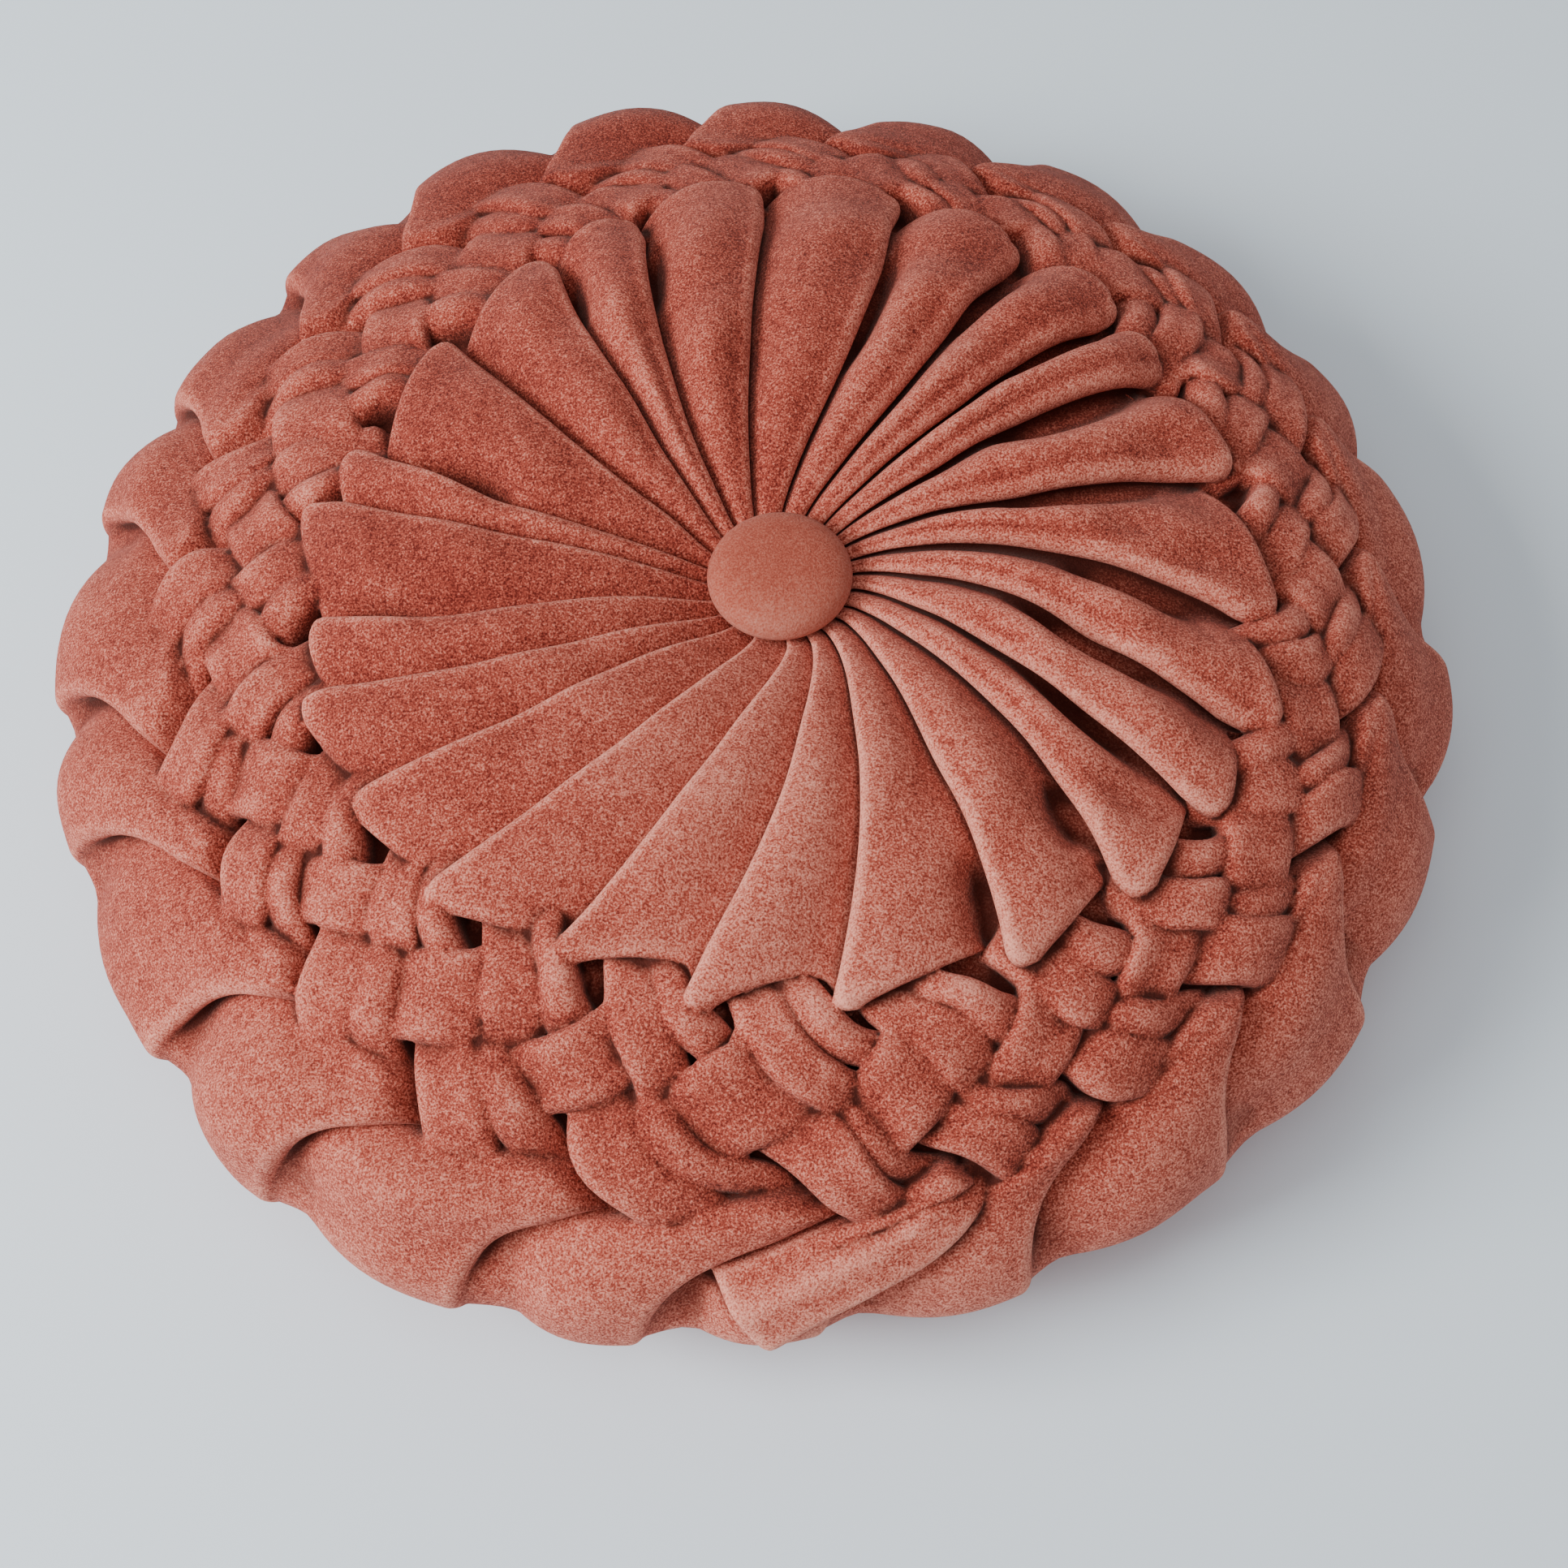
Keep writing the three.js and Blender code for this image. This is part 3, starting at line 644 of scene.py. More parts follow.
def face_pleat(pleat):
    """Points of one face pleat, ring by ring from the button outwards."""
    plump = PLEATS["plump"][pleat]
    reach, sink = down_pleat(pleat_end(pleat))
    fold_reach = reach[:, FACE_COLUMNS]
    crease = fold_angle(pleat - 1, fold_reach)
    own = fold_angle(pleat, fold_reach)
    radius, _ = profile(fold_reach)
    width = np.radians(crease - own) * radius
    slant = slant_of(own[:FACE_RINGS], fold_reach[:FACE_RINGS], radius[:FACE_RINGS])
    slant = np.minimum(slant, MOST_SLANT)
    slant = np.concatenate([slant, np.full(len(fold_reach) - FACE_RINGS, slant[-1])])
    plain_fold = table_at(PLEAT_SECTION, "fold", fold_reach)
    most_fold = width * FOLD_SHARE / slant
    fold_before = np.minimum(plain_fold * PLEATS["round"][pleat - 1], most_fold)
    fold = np.minimum(plain_fold * PLEATS["round"][pleat], most_fold)
    sideways, lift = pleat_section(
        width=width,
        pull=tip_pull(pleat, fold_reach),
        slant=slant,
        depth=CREASE_DROP * fold,
        drop=FACE_DROP * fold_before,
        fold=fold,
        turn=FACE_FOLD_TURN + 0 * width,
        undercut=np.minimum(table_at(PLEAT_SECTION, "undercut", fold_reach), width * UNDERCUT_SHARE),
        valley=0 * width,
        crown=blend(*FACE_CROWN, plump) * smooth_step(*FACE_CROWN_REACHES, fold_reach),
        rise=blend(*FACE_RISE, plump) + 0 * width,
    )
    lift = lift + pocket_lift(pleat, fold_reach, sideways, width)
    angle = crease[:, None] - np.degrees(sideways / np.maximum(radius[:, None], LEAST_RADIUS))
    uneven = smooth_step(*FACE_WAVE_REACHES, fold_reach)[:, None]
    lift = lift + waves(angle, reach, **FACE_WAVES) * uneven - dent_depth(angle, reach)
    lift = np.maximum(CHANNEL_LIFT, lift - sink)
    return on_cover(reach, crease[:, None], lift, sideways)


def channel_pleat(number):
    """Points of the channel's floor, from one rim fold to the next."""
    reach = np.linspace(*CHANNEL_REACHES, CHANNEL_RINGS)
    start = rim_crease(number, reach)
    share = np.arange(COLUMNS) / COLUMNS
    angle = start[:, None] - PITCH * share[None]
    return on_cover(reach[:, None] + 0 * angle, angle, CHANNEL_LIFT)


def rim_crease(number, reach):
    """The angle of a rim fold. Folds are counted on round and round."""
    turns, index = divmod(number, PLEAT_COUNT)
    past = np.maximum(0, reach - RIM_FOLDS["reach"][index])
    bent = 1 - np.exp(-past / RIM_FOLDS["length"][index])
    return RIM_FOLDS["angle"][index] - 360 * turns - RIM_FOLDS["slant"][index] * bent


def along_rim(values, angle):
    """A value of each rim fold, read off between the folds' mean places."""
    place = (RIM_ANGLE - angle) / PITCH
    low = np.floor(place).astype(int)
    return blend(values[low % PLEAT_COUNT], values[(low + 1) % PLEAT_COUNT], place - low)


def rim_fullness(angle, reach):
    """How much fuller the rim is than its plain section, in mm."""
    more = np.interp(angle % 360, RIM_FULLNESS["angle"], RIM_FULLNESS["lift"])
    return more * smooth_step(*FULLNESS_IN, reach) * (1 - smooth_step(*FULLNESS_OUT, reach))


def rim_entry(number, share, reach):
    """How far a rim pleat is sunk where it comes out of the smocking."""
    start = RIM_FOLDS["reach"][number % PLEAT_COUNT]
    next_start = RIM_FOLDS["reach"][(number + 1) % PLEAT_COUNT]
    inner = blend(start, next_start, share) + np.interp(share, RIM_ENTRY["share"], RIM_ENTRY["reach"])
    return -CHANNEL_LIFT * (1 - np.sqrt(np.clip((reach - inner) / RIM_ENTRY_ROUND, 0, 1)))


def rim_pleat(number, fullness):
    """Points of one rim pleat, ring by ring towards the back."""
    reach = RIM_RINGS
    start = rim_crease(number, reach)
    radius, _ = profile(reach)
    width = np.radians(start - rim_crease(number + 1, reach)) * radius
    section = {name: table_at(RIM_SECTION, name, reach) for name in RIM_SECTION if name != "reach"}
    section["depth"] = section["depth"] * fullness
    section["crown"] = section["crown"] * fullness
    section["drop"] = np.minimum(2 * section["fold"], RIM_DROP_SHARE * section["depth"])
    slant = slant_of(start, reach, radius)
    sideways, lift = pleat_section(width=width, pull=0 * width, slant=slant, **section)
    # Folded the other way from the face's pleats
    sideways = width[:, None] - sideways[:, ::-1]
    lift = lift[:, ::-1]
    share = np.clip(sideways / width[:, None], 0, 1)
    angle = start[:, None] - np.degrees(sideways / radius[:, None])
    reach = reach[:, None]
    lift = np.maximum(CHANNEL_LIFT, lift - rim_entry(number, share, reach))
    lift = lift + waves(angle, reach, **RIM_WAVES) * smooth_step(*RIM_WAVE_REACHES, reach)
    lift = np.minimum(lift, RIM_MOST_LIFT) + rim_fullness(angle, reach)
    return on_cover(reach, start[:, None], lift, sideways)


def back_rings(edge):
    """Rings of points over the flat back, from the rim's last ring inwards."""
    flat = edge * np.array([1, 1, 0])
    inner = flat * (BACK_RADIUS / np.linalg.norm(flat[:, :2], axis=1))[:, None]
    return blend(flat[None], inner[None], np.linspace(0, 1, BACK_RINGS + 1)[1:, None, None])


def skin(rings, first_pole, last_pole):
    """A closed mesh through rings of points, with its faces turned outwards."""
    count = rings.shape[1]
    points = np.concatenate([[first_pole], rings.reshape(-1, 3), [last_pole]])
    column = np.arange(count)
    following = (column + 1) % count
    quads = []
    for ring in range(rings.shape[0] - 1):
        a = 1 + ring * count + column
        b = 1 + ring * count + following
        quads.append(np.stack([a, b, b + count, a + count], axis=1))
    quads = np.concatenate(quads)
    base = 1 + (rings.shape[0] - 1) * count
    last = len(points) - 1
    first_cap = np.stack([0 * column, 1 + following, 1 + column], axis=1)
    last_cap = np.stack([0 * column + last, base + column, base + following], axis=1)
    triangles = np.concatenate([quads[:, [0, 1, 2]], quads[:, [0, 2, 3]], first_cap, last_cap])
    a, b, c = points[triangles].transpose(1, 0, 2)
    volume = (a * np.cross(b, c)).sum()
    faces = quads.tolist() + first_cap.tolist() + last_cap.tolist()
    if volume < 0:
        faces = [face[::-1] for face in faces]
    return points, faces


def body_mesh():
    """The cover without its bands: face, channel, rim and back."""
    rng = np.random.default_rng(RIM_PLEAT_SEED)
    around = range(PLEAT_COUNT)
    face = np.concatenate([face_pleat(pleat) for pleat in around], axis=1)
    channel = np.concatenate([channel_pleat(pleat - RIM_LEAD) for pleat in around], axis=1)
    rim = np.concatenate(
        [rim_pleat(pleat - RIM_LEAD, rng.uniform(*RIM_PLEAT_FULLNESS)) for pleat in around],
        axis=1,
    )
    rings = np.concatenate([face, channel, rim, back_rings(rim[-1])])
    seat = (FACE_SHIFT[0], FACE_SHIFT[1], PROFILE_HEIGHTS[0] - SEAT_DEPTH)
    return skin(rings, seat, (0, 0, 0))


def ridge_mesh(row, ridge, rng):
    """One ridge of a band, laid flat: a closed rounded length of cloth that
    dives at both ends."""
    knots = np.linspace(0, 1, len(ridge["along"]))
    t = np.linspace(0, 1, RIDGE_RINGS)
    sway = rng.normal(0, RIDGE_SWAY, len(knots))
    along = smooth_through(knots, ridge["along"], t)
    across = smooth_through(knots, np.array(ridge["across"]) + sway, t)
    half_width = smooth_through(knots, ridge["half_width"], t) * rng.uniform(*RIDGE_WIDTHS)
    height = smooth_through(knots, ridge["height"], t) * row["height"] * rng.uniform(*RIDGE_HEIGHTS)
    line = along[:, None] * np.array(row["along"])[None] + across[:, None] * np.array(row["across"])[None]
    run = np.gradient(line, axis=0)
    run /= np.linalg.norm(run, axis=1)[:, None]
    side = np.stack([-run[:, 1], run[:, 0]], axis=1)
    v = np.sin(np.linspace(-0.5, 0.5, RIDGE_COLUMNS) * math.pi)
    arch = (1 - np.abs(v) ** ridge["power"]) ** (1 / ridge["power"])
    lean = rng.uniform(-RIDGE_LEAN, RIDGE_LEAN)
    dent = ridge["dent"] * rng.uniform(*RIDGE_DENTS) * np.sin(math.pi * t)[:, None] * (1 - v * v)[None] ** 3
    top = CHANNEL_LIFT + height[:, None] - ridge["dome"] * (1 - arch)[None] + lean * v[None] - dent
    top = np.maximum(top, CHANNEL_LIFT - RIDGE_FOOT + 1)
    foot = np.full((RIDGE_RINGS, len(RIDGE_FOOT_SHARES)), CHANNEL_LIFT - RIDGE_FOOT)
    lateral = np.concatenate([v, RIDGE_FOOT_SHARES])
    lift = np.concatenate([top, foot], axis=1)
    places = line[:, None] + side[:, None] * (half_width[:, None] * lateral[None])[..., None]
    rings = np.concatenate([places, lift[..., None]], axis=-1)
    return skin(rings, rings[0].mean(axis=0), rings[-1].mean(axis=0))


def rounding(distance, radius):
    """How far an edge is rounded down at a distance from it."""
    return radius * (1 - np.sqrt(1 - np.clip(1 - distance / radius, 0, 1) ** 2))


def loose_pleat():
    """The pleat that ends in a free corner, as a thick closed piece of cloth."""
    knots = np.linspace(0, 1, len(LOOSE_PLEAT["lift"]))
    along = np.linspace(0, 1, LOOSE_RINGS) ** LOOSE_RING_POWER
    across = np.linspace(0, 1, LOOSE_COLUMNS) ** LOOSE_COLUMN_POWER
    line = {name: smooth_through(knots, values, along)[:, None] for name, values in LOOSE_PLEAT.items()}
    angle = blend(line["fold_angle"], line["tuck_angle"], across[None])
    reach = blend(line["fold_reach"], line["tuck_reach"], across[None])
    lift = line["lift"] - rounding(across * LOOSE_WIDTH, LOOSE_ROUND)[None]
    lift = lift - rounding((1 - along) * LOOSE_LENGTH, LOOSE_ROUND)[:, None]
    lift = lift - LOOSE_DIVE * smooth_step(0.5, 1, across)[None]
    places = np.stack([angle, reach, lift], axis=-1)
    foot = places[:, ::-1][:, ::LOOSE_FOOT_STEP] * np.array([1, 1, 0]) + np.array([0, 0, LOOSE_FOOT])
    rings = np.concatenate([places, foot], axis=1)
    rings = on_cover(rings[..., 1], rings[..., 0], rings[..., 2])
    points, faces = skin(rings, rings[0].mean(axis=0), rings[-1].mean(axis=0))
    return new_object("loose_pleat", new_mesh("loose_pleat", into_frame(points), faces))


def new_mesh(name, points, faces):
    mesh = bpy.data.meshes.new(name)
    mesh.from_pydata([tuple(p) for p in points], [], faces)
    mesh.update()
    return mesh


def new_object(name, mesh):
    item = bpy.data.objects.new(name, mesh)
    bpy.context.scene.collection.objects.link(item)
    return item


def evaluated_mesh(item):
    graph = bpy.context.evaluated_depsgraph_get()
    return bpy.data.meshes.new_from_object(item.evaluated_get(graph))


def math_node(tree, operation, first, second):
    """Reckons with two values, each a number or another node's output."""
    node = tree.nodes.new("ShaderNodeMath")
    node.operation = operation
    for slot, value in enumerate((first, second)):
        if isinstance(value, (int, float)):
            node.inputs[slot].default_value = value
        else:
            tree.links.new(value, node.inputs[slot])
    return node.outputs[0]


def join(item, others):
    """Joins closed solids to an object and leaves it one skin."""
    for other in others:
        union = item.modifiers.new("join", "BOOLEAN")
        union.operation = "UNION"
        union.solver = "MANIFOLD"
        union.object = other
    bpy.context.view_layer.update()
    mesh = evaluated_mesh(item)
    item.modifiers.clear()
    item.data = mesh
    for other in others:
        bpy.data.objects.remove(other)


def band_kind(row, rng):
    """One kind of a row's band, made of its ridges."""
    parts = []
    for name in row["ridges"]:
        mesh = new_mesh("ridge", *ridge_mesh(row, RIDGES[name], rng))
        parts.append(new_object("band_kind", mesh))
    join(parts[0], parts[1:])
    return parts[0]


def group_input(tree, name, kind, value=None):
    socket = tree.interface.new_socket(name, in_out="INPUT", socket_type=kind)
    if value is not None:
        socket.default_value = value
    return socket.identifier


def random_node(tree, low, high, seed):
    """A random value for each point, between two others."""
    node = tree.nodes.new("FunctionNodeRandomValue")
    node.data_type = "FLOAT"
    tree.links.new(low, node.inputs[2])
    tree.links.new(high, node.inputs[3])
    tree.links.new(seed, node.inputs["Seed"])
    return node.outputs[1]


def band_row_tree():
    """Geometry nodes that lay a row of bands: on each point one of several
    kinds of band, a little turned and sized, by a fixed seed."""
    tree = bpy.data.node_groups.new("band_row", "GeometryNodeTree")
    tree.interface.new_socket("Geometry", in_out="OUTPUT", socket_type="NodeSocketGeometry")
    sockets = {
        "places": group_input(tree, "Places", "NodeSocketGeometry"),
        "kinds": group_input(tree, "Kinds", "NodeSocketCollection"),
        "turn": group_input(tree, "Turn", "NodeSocketFloat", BAND_TURN),
        "size": group_input(tree, "Size", "NodeSocketFloat", BAND_SIZE),
        "seed": group_input(tree, "Seed", "NodeSocketInt", 1),
        "cloth": group_input(tree, "Cloth", "NodeSocketMaterial"),
    }
    nodes = tree.nodes
    link = tree.links.new
    given = nodes.new("NodeGroupInput")
    result = nodes.new("NodeGroupOutput")
    kinds = nodes.new("GeometryNodeCollectionInfo")
    kinds.inputs["Separate Children"].default_value = True
    link(given.outputs["Kinds"], kinds.inputs["Collection"])
    turn_low = math_node(tree, "MULTIPLY", given.outputs["Turn"], -1)
    turn = random_node(tree, turn_low, given.outputs["Turn"], given.outputs["Seed"])
    angles = nodes.new("ShaderNodeCombineXYZ")
    link(turn, angles.inputs["Z"])
    size_low = math_node(tree, "SUBTRACT", 1, given.outputs["Size"])
    size_high = math_node(tree, "ADD", 1, given.outputs["Size"])
    size = random_node(tree, size_low, size_high, given.outputs["Seed"])
    scale = nodes.new("ShaderNodeCombineXYZ")
    link(size, scale.inputs["X"])
    link(size, scale.inputs["Y"])
    scale.inputs["Z"].default_value = 1
    points = nodes.new("GeometryNodeMeshToPoints")
    link(given.outputs["Places"], points.inputs["Mesh"])
    place = nodes.new("GeometryNodeInstanceOnPoints")
    place.inputs["Pick Instance"].default_value = True
    link(points.outputs["Points"], place.inputs["Points"])
    link(kinds.outputs["Instances"], place.inputs["Instance"])
    link(angles.outputs["Vector"], place.inputs["Rotation"])
    link(scale.outputs["Vector"], place.inputs["Scale"])
    real = nodes.new("GeometryNodeRealizeInstances")
    link(place.outputs["Instances"], real.inputs["Geometry"])
    cloth = nodes.new("GeometryNodeSetMaterial")
    link(real.outputs["Geometry"], cloth.inputs["Geometry"])
    link(given.outputs["Cloth"], cloth.inputs["Material"])
    link(cloth.outputs["Geometry"], result.inputs["Geometry"])
    return tree, sockets


def pleat_ends(angle):
    """How far out the pleats end at an angle, evened out along the row."""
    middles = np.array([fold_angle(pleat, FOLD_REACHES[-1]) for pleat in range(-2, PLEAT_COUNT + 2)])
    ends = (np.array(PLEATS["tip"]) + PLEATS["heel"]) / 2 + PLEATS["arch"]
    ends = np.concatenate([ends[-2:], ends, ends[:2]])
    ends = np.convolve(np.concatenate([ends[:1], ends, ends[-1:]]), [0.25, 0.5, 0.25], mode="valid")
    turned = middles[0] - (middles[0] - angle) % 360
    return float(np.interp(-turned, -middles, ends))


def band_places(row):
    """A point for each band of a row, on the cloth laid flat. Bands near the
    pleats follow their ends."""
    places = []
    for number in range(PLEAT_COUNT):
        angle = row["angle"] - number * PITCH
        push = row["follow"] * (pleat_ends(angle) - MEAN_PLEAT_END)
        places.append((angle * ARC_LENGTH, row["reach"] + push, 0))
    return places


def flat_row(row, number, cloth):
    """The mesh of one row of bands, laid flat."""
    tree, sockets = band_row_tree()
    rng = np.random.default_rng(KIND_SEED + number)
    kinds = bpy.data.collections.new("band_kinds")
    for _ in range(BAND_KINDS):
        item = band_kind(row, rng)
        bpy.context.scene.collection.objects.unlink(item)
        kinds.objects.link(item)
    places = new_object("band_places", new_mesh("band_places", band_places(row), []))
    laid = places.modifiers.new("bands", "NODES")
    laid.node_group = tree
    laid[sockets["kinds"]] = kinds
    laid[sockets["seed"]] = PLACE_SEED + number
    laid[sockets["cloth"]] = cloth
    bpy.context.view_layer.update()
    mesh = evaluated_mesh(places)
    for item in list(kinds.objects) + [places]:
        bpy.data.objects.remove(item)
    return mesh


def bend_over_cover(mesh):
    """Bends a flat row over the cover, where its outer side follows the rim's
    folds. The bend mirrors it, so its faces are turned back outwards."""
    flat = read_points(mesh)
    flat_angle = flat[:, 0] / ARC_LENGTH
    flat_reach = flat[:, 1]
    follow = np.clip((flat_reach - FOLLOW_START) / FOLLOW_LENGTH, 0, MOST_FOLLOW)
    turns = np.array(RIM_FOLDS["angle"]) - RIM_ANGLE + PITCH * np.arange(PLEAT_COUNT)
    starts = np.array(RIM_FOLDS["reach"]) - MEAN_RIM_START
    angle = flat_angle + follow * along_rim(turns, flat_angle)
    angle = angle + waves(flat_angle, flat_reach, **BAND_ANGLE_WAVES)
    reach = flat_reach + follow * along_rim(starts, flat_angle)
    reach = reach + waves(angle, flat_reach, **BAND_REACH_WAVES)
    write_points(mesh, into_frame(on_cover(reach, angle, flat[:, 2])))
    mesh.flip_normals()


def smocked_rows(cloth):
    """The rows of smocked bands, in place on the cover."""
    rows = []
    for number, row in enumerate(BAND_ROWS):
        mesh = flat_row(row, number, cloth)
        bend_over_cover(mesh)
        rows.append(new_object("band_row", mesh))
    return rows


def read_points(mesh):
    flat = np.zeros(len(mesh.vertices) * 3)
    mesh.vertices.foreach_get("co", flat)
    return flat.reshape(-1, 3)


def write_points(mesh, points):
    mesh.vertices.foreach_set("co", points.reshape(-1))
    mesh.update()


def edge_pairs(mesh):
    pairs = np.zeros(len(mesh.edges) * 2, int)
    mesh.edges.foreach_get("vertices", pairs)
    return pairs.reshape(-1, 2)


def neighbour_mean(values, pairs):
    total = np.zeros_like(values)
    count = np.zeros(len(values))
    np.add.at(total, pairs[:, 0], values[pairs[:, 1]])
    np.add.at(total, pairs[:, 1], values[pairs[:, 0]])
    np.add.at(count, pairs[:, 0], 1)
    np.add.at(count, pairs[:, 1], 1)
    return total / np.maximum(count, 1).reshape((-1,) + (1,) * (values.ndim - 1))


def take_out_lone_corners(mesh):
    """Takes out the corners that a union leaves with only two edges, between
    two faces that lie back to back."""
    data = bmesh.new()
    data.from_mesh(mesh)
    for _ in range(LONE_CORNER_ROUNDS):
        lone = [corner for corner in data.verts if len(corner.link_edges) == 2]
        bmesh.ops.dissolve_verts(data, verts=lone)
    data.to_mesh(mesh)
    data.free()


def cut_to_triangles(mesh):
    data = bmesh.new()
    data.from_mesh(mesh)
    bmesh.ops.triangulate(data, faces=data.faces)
    data.to_mesh(mesh)
    data.free()


def soften(mesh, rounds, share):
    pairs = edge_pairs(mesh)
    points = read_points(mesh)
    for _ in range(rounds):
        points = blend(points, neighbour_mean(points, pairs), share)
    points[:, 2] = np.maximum(points[:, 2], 0)
    write_points(mesh, points)


def mark_folds(mesh):
    """Stores how the surface bends: crest is about 1 on the ridge of a fold
    and crease about 1 down in a crease. The velvet uses crest for a painted
    highlight and crease for painted shade."""
    pairs = edge_pairs(mesh)
    points = read_points(mesh)
    normals = np.zeros(len(mesh.vertices) * 3)
    mesh.vertices.foreach_get("normal", normals)
    normals = normals.reshape(-1, 3)
    run = points[pairs[:, 1]] - points[pairs[:, 0]]
    turn = normals[pairs[:, 1]] - normals[pairs[:, 0]]
    length = np.maximum(np.linalg.norm(run, axis=1), SHORT_EDGE * MM)
    bend = (run * turn).sum(axis=1) / length**2
    total = np.zeros(len(points))
    weight = np.zeros(len(points))
    for end in (0, 1):
        np.add.at(total, pairs[:, end], bend * length)
        np.add.at(weight, pairs[:, end], length)
    curve = np.clip(total / np.maximum(weight, 1e-9) * FOLD_RADIUS * MM, -FOLD_LIMIT, FOLD_LIMIT)
    for name, sign, rounds in (("crease", -1, CREASE_ROUNDS), ("crest", 1, CREST_ROUNDS)):
        values = curve
        for _ in range(rounds):
            values = blend(values, neighbour_mean(values, pairs), SPREAD_SHARE)
        store(mesh, name, np.tanh(np.maximum(0, sign * values)))


def store(mesh, name, values):
    layer = mesh.attributes.new(name, "FLOAT", "POINT")
    layer.data.foreach_set("value", values.astype(np.float32))


def mark_painted_side_shade(mesh):
    """Stores painted light and shade by side: 1 where the colour is painted
    lighter and -1 where it is painted darker, by the angle round the button."""
    middle = button_middle()
    points = read_points(mesh)
    across = points[:, 0] - middle.x
    along = points[:, 1] - middle.y
    turn = np.degrees(np.arctan2(along, across)) % 360
    face = np.interp(turn, SIDE_SHADE_ANGLES, FACE_SIDE_SHADE)
    smocking = np.interp(turn, SIDE_SHADE_ANGLES, SMOCKING_SIDE_SHADE)
    rim = np.interp(turn, SIDE_SHADE_ANGLES, RIM_SIDE_SHADE)
    distance = np.hypot(across, along) / MM
    nap = blend(face, smocking, smooth_step(*SMOCKING_RADII, distance))
    nap = blend(nap, rim, smooth_step(*RIM_RADII, distance))
    store(mesh, "nap", nap * smooth_step(*SIDE_SHADE_RADII, distance))


def button_middle():
    low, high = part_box("button")
    return (low + high) / 2


def into_frame(points):
    """From the cushion's own millimetres to the frame's metres."""
    middle = button_middle()
    return points * MM + np.array([middle.x - FACE_SHIFT[0] * MM, middle.y - FACE_SHIFT[1] * MM, 0])


def make_cover(cloth):
    points, faces = body_mesh()
    cover = new_object("velvet_cover", new_mesh("velvet_cover", into_frame(points), faces))
    join(cover, smocked_rows(cloth) + [loose_pleat()])
    mesh = cover.data
    take_out_lone_corners(mesh)
    soften(mesh, SOFTEN_ROUNDS, SOFTEN_SHARE)
    # Masks for the painted highlight on crests, the painted shade in creases and the painted light and
    # shade by side
    mark_folds(mesh)
    mark_painted_side_shade(mesh)
    cut_to_triangles(mesh)
    mesh.materials.clear()
    mesh.materials.append(cloth)
    mesh.shade_smooth()
    return cover


def make_button(cloth):
    """A domed mould covered in velvet, drawn down into the cover."""
    low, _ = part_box("button")
    middle = button_middle()
    t = np.linspace(0, len(BUTTON_SHARES) - 1, BUTTON_RINGS)
    knots = range(len(BUTTON_SHARES))
    radius = smooth_through(knots, np.array(BUTTON_SHARES) * BUTTON_RADIUS, t)[1:-1]
    height = smooth_through(knots, BUTTON_HEIGHTS, t)[1:-1]
    turn = -np.linspace(0, 2 * math.pi, BUTTON_COLUMNS + 1)[:-1]
    rings = np.stack([
        radius[:, None] * np.cos(turn)[None],
        radius[:, None] * np.sin(turn)[None],
        np.repeat(height[:, None], len(turn), axis=1),
    ], axis=-1)[::-1]
    points, faces = skin(rings, (0, 0, BUTTON_HEIGHTS[-1]), (0, 0, BUTTON_HEIGHTS[0]))
    points = points * MM + np.array([middle.x, middle.y, low.z])
    button = new_object("velvet_button", new_mesh("velvet_button", points, faces))
    # The button gets the same painted highlight, painted crease shade and painted light and shade by side
    mark_folds(button.data)
    mark_painted_side_shade(button.data)
    button.data.materials.append(cloth)
    button.data.shade_smooth()
    return button


def noise_node(tree, place, scale, detail, roughness):
    """Noise, spread about evenly round 0."""
    node = tree.nodes.new("ShaderNodeTexNoise")
    node.inputs["Scale"].default_value = scale
    node.inputs["Detail"].default_value = detail
    node.inputs["Roughness"].default_value = roughness
    tree.links.new(place, node.inputs["Vector"])
    return math_node(tree, "SUBTRACT", node.outputs["Fac"], 0.5)


def stored_value(tree, name):
    node = tree.nodes.new("ShaderNodeAttribute")
    node.attribute_name = name
    return node.outputs["Fac"]


def range_node(tree, value, start, end, most=1):
    """Runs from 0 to most while a value runs from start to end."""
    node = tree.nodes.new("ShaderNodeMapRange")
    node.inputs["From Min"].default_value = start
    node.inputs["From Max"].default_value = end
    node.inputs["To Max"].default_value = most
    tree.links.new(value, node.inputs["Value"])
    return node.outputs["Result"]


def mix_node(tree, share, first, second):
    node = tree.nodes.new("ShaderNodeMix")
    node.data_type = "RGBA"
    tree.links.new(share, node.inputs["Factor"])
    tree.links.new(first, node.inputs[6])
    tree.links.new(second, node.inputs[7])
    return node.outputs[2]


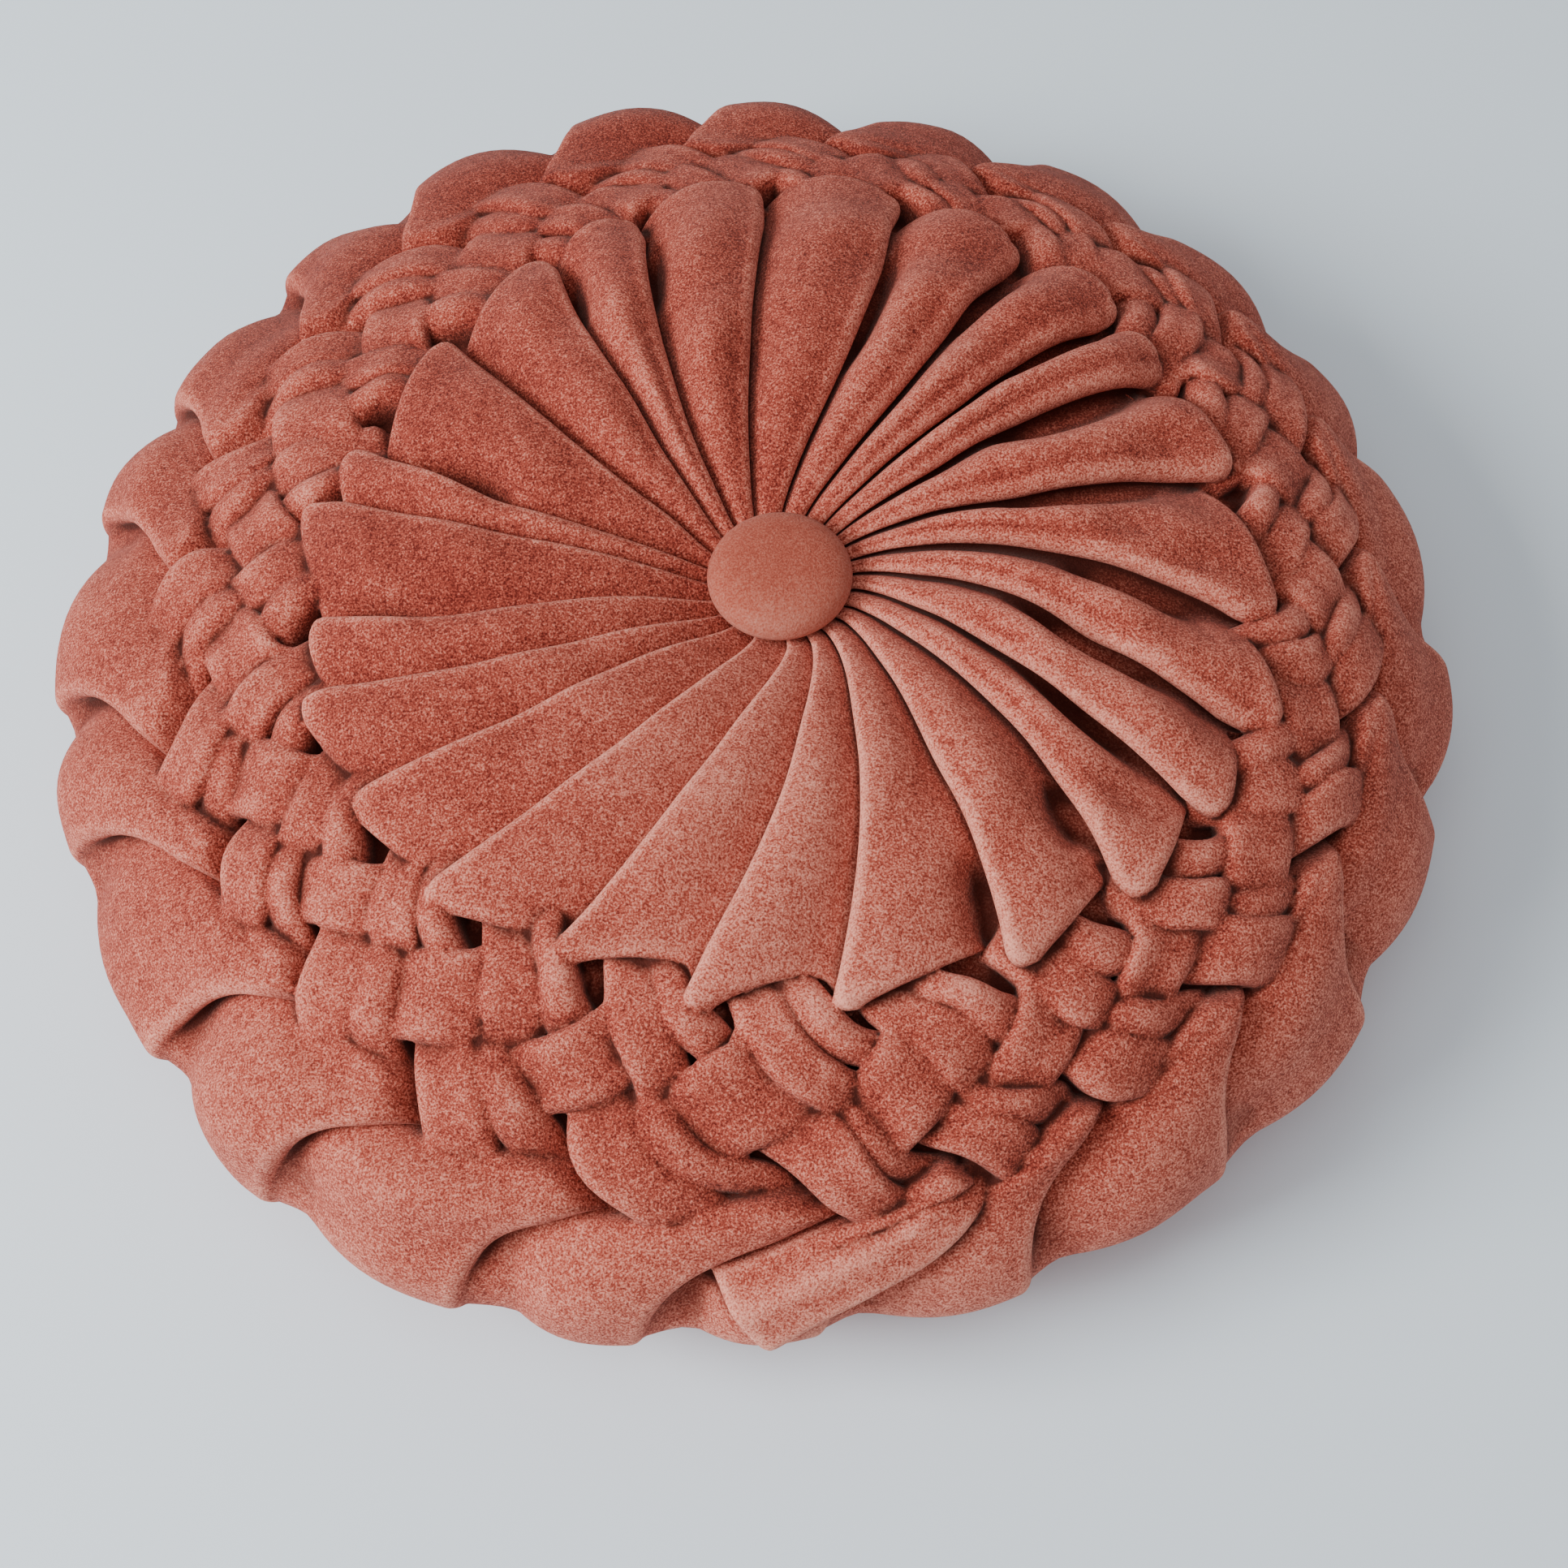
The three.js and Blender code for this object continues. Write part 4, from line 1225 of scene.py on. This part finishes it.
def velvet_group():
    """Shader group: velvet's colour, with painted highlight and painted shade, and bump height."""
    group = bpy.data.node_groups.new("velvet_pile", "ShaderNodeTree")
    for name in ("Deep", "Body", "Light", "Crease"):
        group.interface.new_socket(name, in_out="INPUT", socket_type="NodeSocketColor")
    group.interface.new_socket("Grain", in_out="INPUT", socket_type="NodeSocketFloat")
    group.interface.new_socket("Color", in_out="OUTPUT", socket_type="NodeSocketColor")
    group.interface.new_socket("Height", in_out="OUTPUT", socket_type="NodeSocketFloat")
    given = group.nodes.new("NodeGroupInput")
    result = group.nodes.new("NodeGroupOutput")
    place = group.nodes.new("ShaderNodeTexCoord").outputs["Object"]

    pile = math_node(group, "MULTIPLY", noise_node(group, place, **PILE), PILE_TONE)
    clumps = math_node(group, "MULTIPLY", noise_node(group, place, **CLUMPS), CLUMP_TONE)
    fine = math_node(group, "ADD", pile, clumps)
    fine = math_node(group, "MULTIPLY", fine, given.outputs["Grain"])
    patches = math_node(group, "MULTIPLY", noise_node(group, place, **PATCHES), PATCH_TONE)
    tone = math_node(group, "ADD", math_node(group, "ADD", fine, patches), MIDDLE_TONE)
    # The crest value adds a painted highlight, and the stored side value adds painted light and shade by
    # side
    for name, more in (("crest", CREST_HIGHLIGHT_TONE), ("nap", SIDE_SHADE_TONE)):
        tone = math_node(group, "ADD", tone, math_node(group, "MULTIPLY", stored_value(group, name), more))

    body = range_node(group, tone, *DEEP_TO_BODY)
    light = range_node(group, tone, *BODY_TO_LIGHT)
    # Painted shade: the crease value darkens the colour towards the crease colour
    crease = range_node(group, stored_value(group, "crease"), *CREASE_SHADE_RANGE, CREASE_SHADE_SHARE)
    colour = mix_node(group, body, given.outputs["Deep"], given.outputs["Body"])
    colour = mix_node(group, light, colour, given.outputs["Light"])
    colour = mix_node(group, crease, colour, given.outputs["Crease"])
    group.links.new(colour, result.inputs["Color"])
    group.links.new(fine, result.inputs["Height"])
    return group


def velvet(name, group, look):
    material = bpy.data.materials.new(name)
    material.use_nodes = True
    tree = material.node_tree
    surface = tree.nodes["Principled BSDF"]
    for socket, value in VELVET_SURFACE.items():
        surface.inputs[socket].default_value = value
    pile = tree.nodes.new("ShaderNodeGroup")
    pile.node_tree = group
    for socket, value in look.items():
        pile.inputs[socket].default_value = value
    bump = tree.nodes.new("ShaderNodeBump")
    bump.inputs["Strength"].default_value = BUMP_STRENGTH
    bump.inputs["Distance"].default_value = PILE_BUMP * MM
    tree.links.new(pile.outputs["Color"], surface.inputs["Base Color"])
    tree.links.new(pile.outputs["Height"], bump.inputs["Height"])
    tree.links.new(bump.outputs["Normal"], surface.inputs["Normal"])
    return material


def turned(first, second, degrees):
    """Two square directions, turned together."""
    turn = math.radians(degrees)
    return (
        first * math.cos(turn) - second * math.sin(turn),
        first * math.sin(turn) + second * math.cos(turn),
    )


def make_camera():
    height = math.radians(CAMERA["height_angle"])
    side = math.radians(CAMERA["side_angle"])
    stand = np.array([
        -math.sin(side) * math.cos(height),
        -math.cos(side) * math.cos(height),
        math.sin(height),
    ]) * CAMERA["distance"] * MM
    forward = -stand / np.linalg.norm(stand)
    right = np.cross(forward, [0, 0, 1])
    right /= np.linalg.norm(right)
    up = np.cross(right, forward)
    right, forward = turned(right, forward, CAMERA["aim_right"])
    up, forward = turned(up, forward, CAMERA["aim_up"])
    right, up = turned(right, up, CAMERA["roll"])
    data = bpy.data.cameras.new("camera")
    data.sensor_fit = "HORIZONTAL"
    data.angle = math.radians(CAMERA["view_angle"])
    camera = bpy.data.objects.new("camera", data)
    matrix = Matrix.Identity(4)
    for column, axis in enumerate((right, up, -forward)):
        for row in range(3):
            matrix[row][column] = axis[row]
    middle = button_middle()
    matrix.translation = Vector(stand + np.array([middle.x, middle.y, FACE_HEIGHT * MM]))
    camera.matrix_world = matrix
    bpy.context.scene.collection.objects.link(camera)
    bpy.context.scene.camera = camera


def make_floor():
    size = FLOOR_HALF
    corners = [(-size, -size, 0), (size, -size, 0), (size, size, 0), (-size, size, 0)]
    floor = new_object("floor", new_mesh("floor", corners, [[0, 1, 2, 3]]))
    paint = bpy.data.materials.new("floor_paint")
    paint.use_nodes = True
    surface = paint.node_tree.nodes["Principled BSDF"]
    surface.inputs["Base Color"].default_value = FLOOR_COLOUR
    surface.inputs["Roughness"].default_value = FLOOR_ROUGHNESS
    floor.data.materials.append(paint)


def make_lights():
    for row in LIGHTS:
        data = bpy.data.lights.new(row["name"], "AREA")
        data.shape = "SQUARE"
        data.size = row["size"]
        data.energy = row["power"]
        data.color = row["colour"]
        light = bpy.data.objects.new(row["name"], data)
        light.location = row["place"]
        aim = Vector(LIGHT_TARGET) - Vector(row["place"])
        light.rotation_euler = aim.to_track_quat("-Z", "Y").to_euler()
        bpy.context.scene.collection.objects.link(light)
    world = bpy.data.worlds.new("studio")
    world.use_nodes = True
    sky = world.node_tree.nodes["Background"]
    sky.inputs["Color"].default_value = SKY_COLOUR
    sky.inputs["Strength"].default_value = SKY_STRENGTH
    bpy.context.scene.world = world


make_camera()
make_floor()
make_lights()

velvet_pile = velvet_group()
cover_cloth = velvet("cover_velvet", velvet_pile, COVER_LOOK)
button_cloth = velvet("button_velvet", velvet_pile, BUTTON_LOOK)

cover = make_cover(cover_cloth)
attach(cover, "root")
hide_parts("cover")

button = make_button(button_cloth)
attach(button, "root")
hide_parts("button")
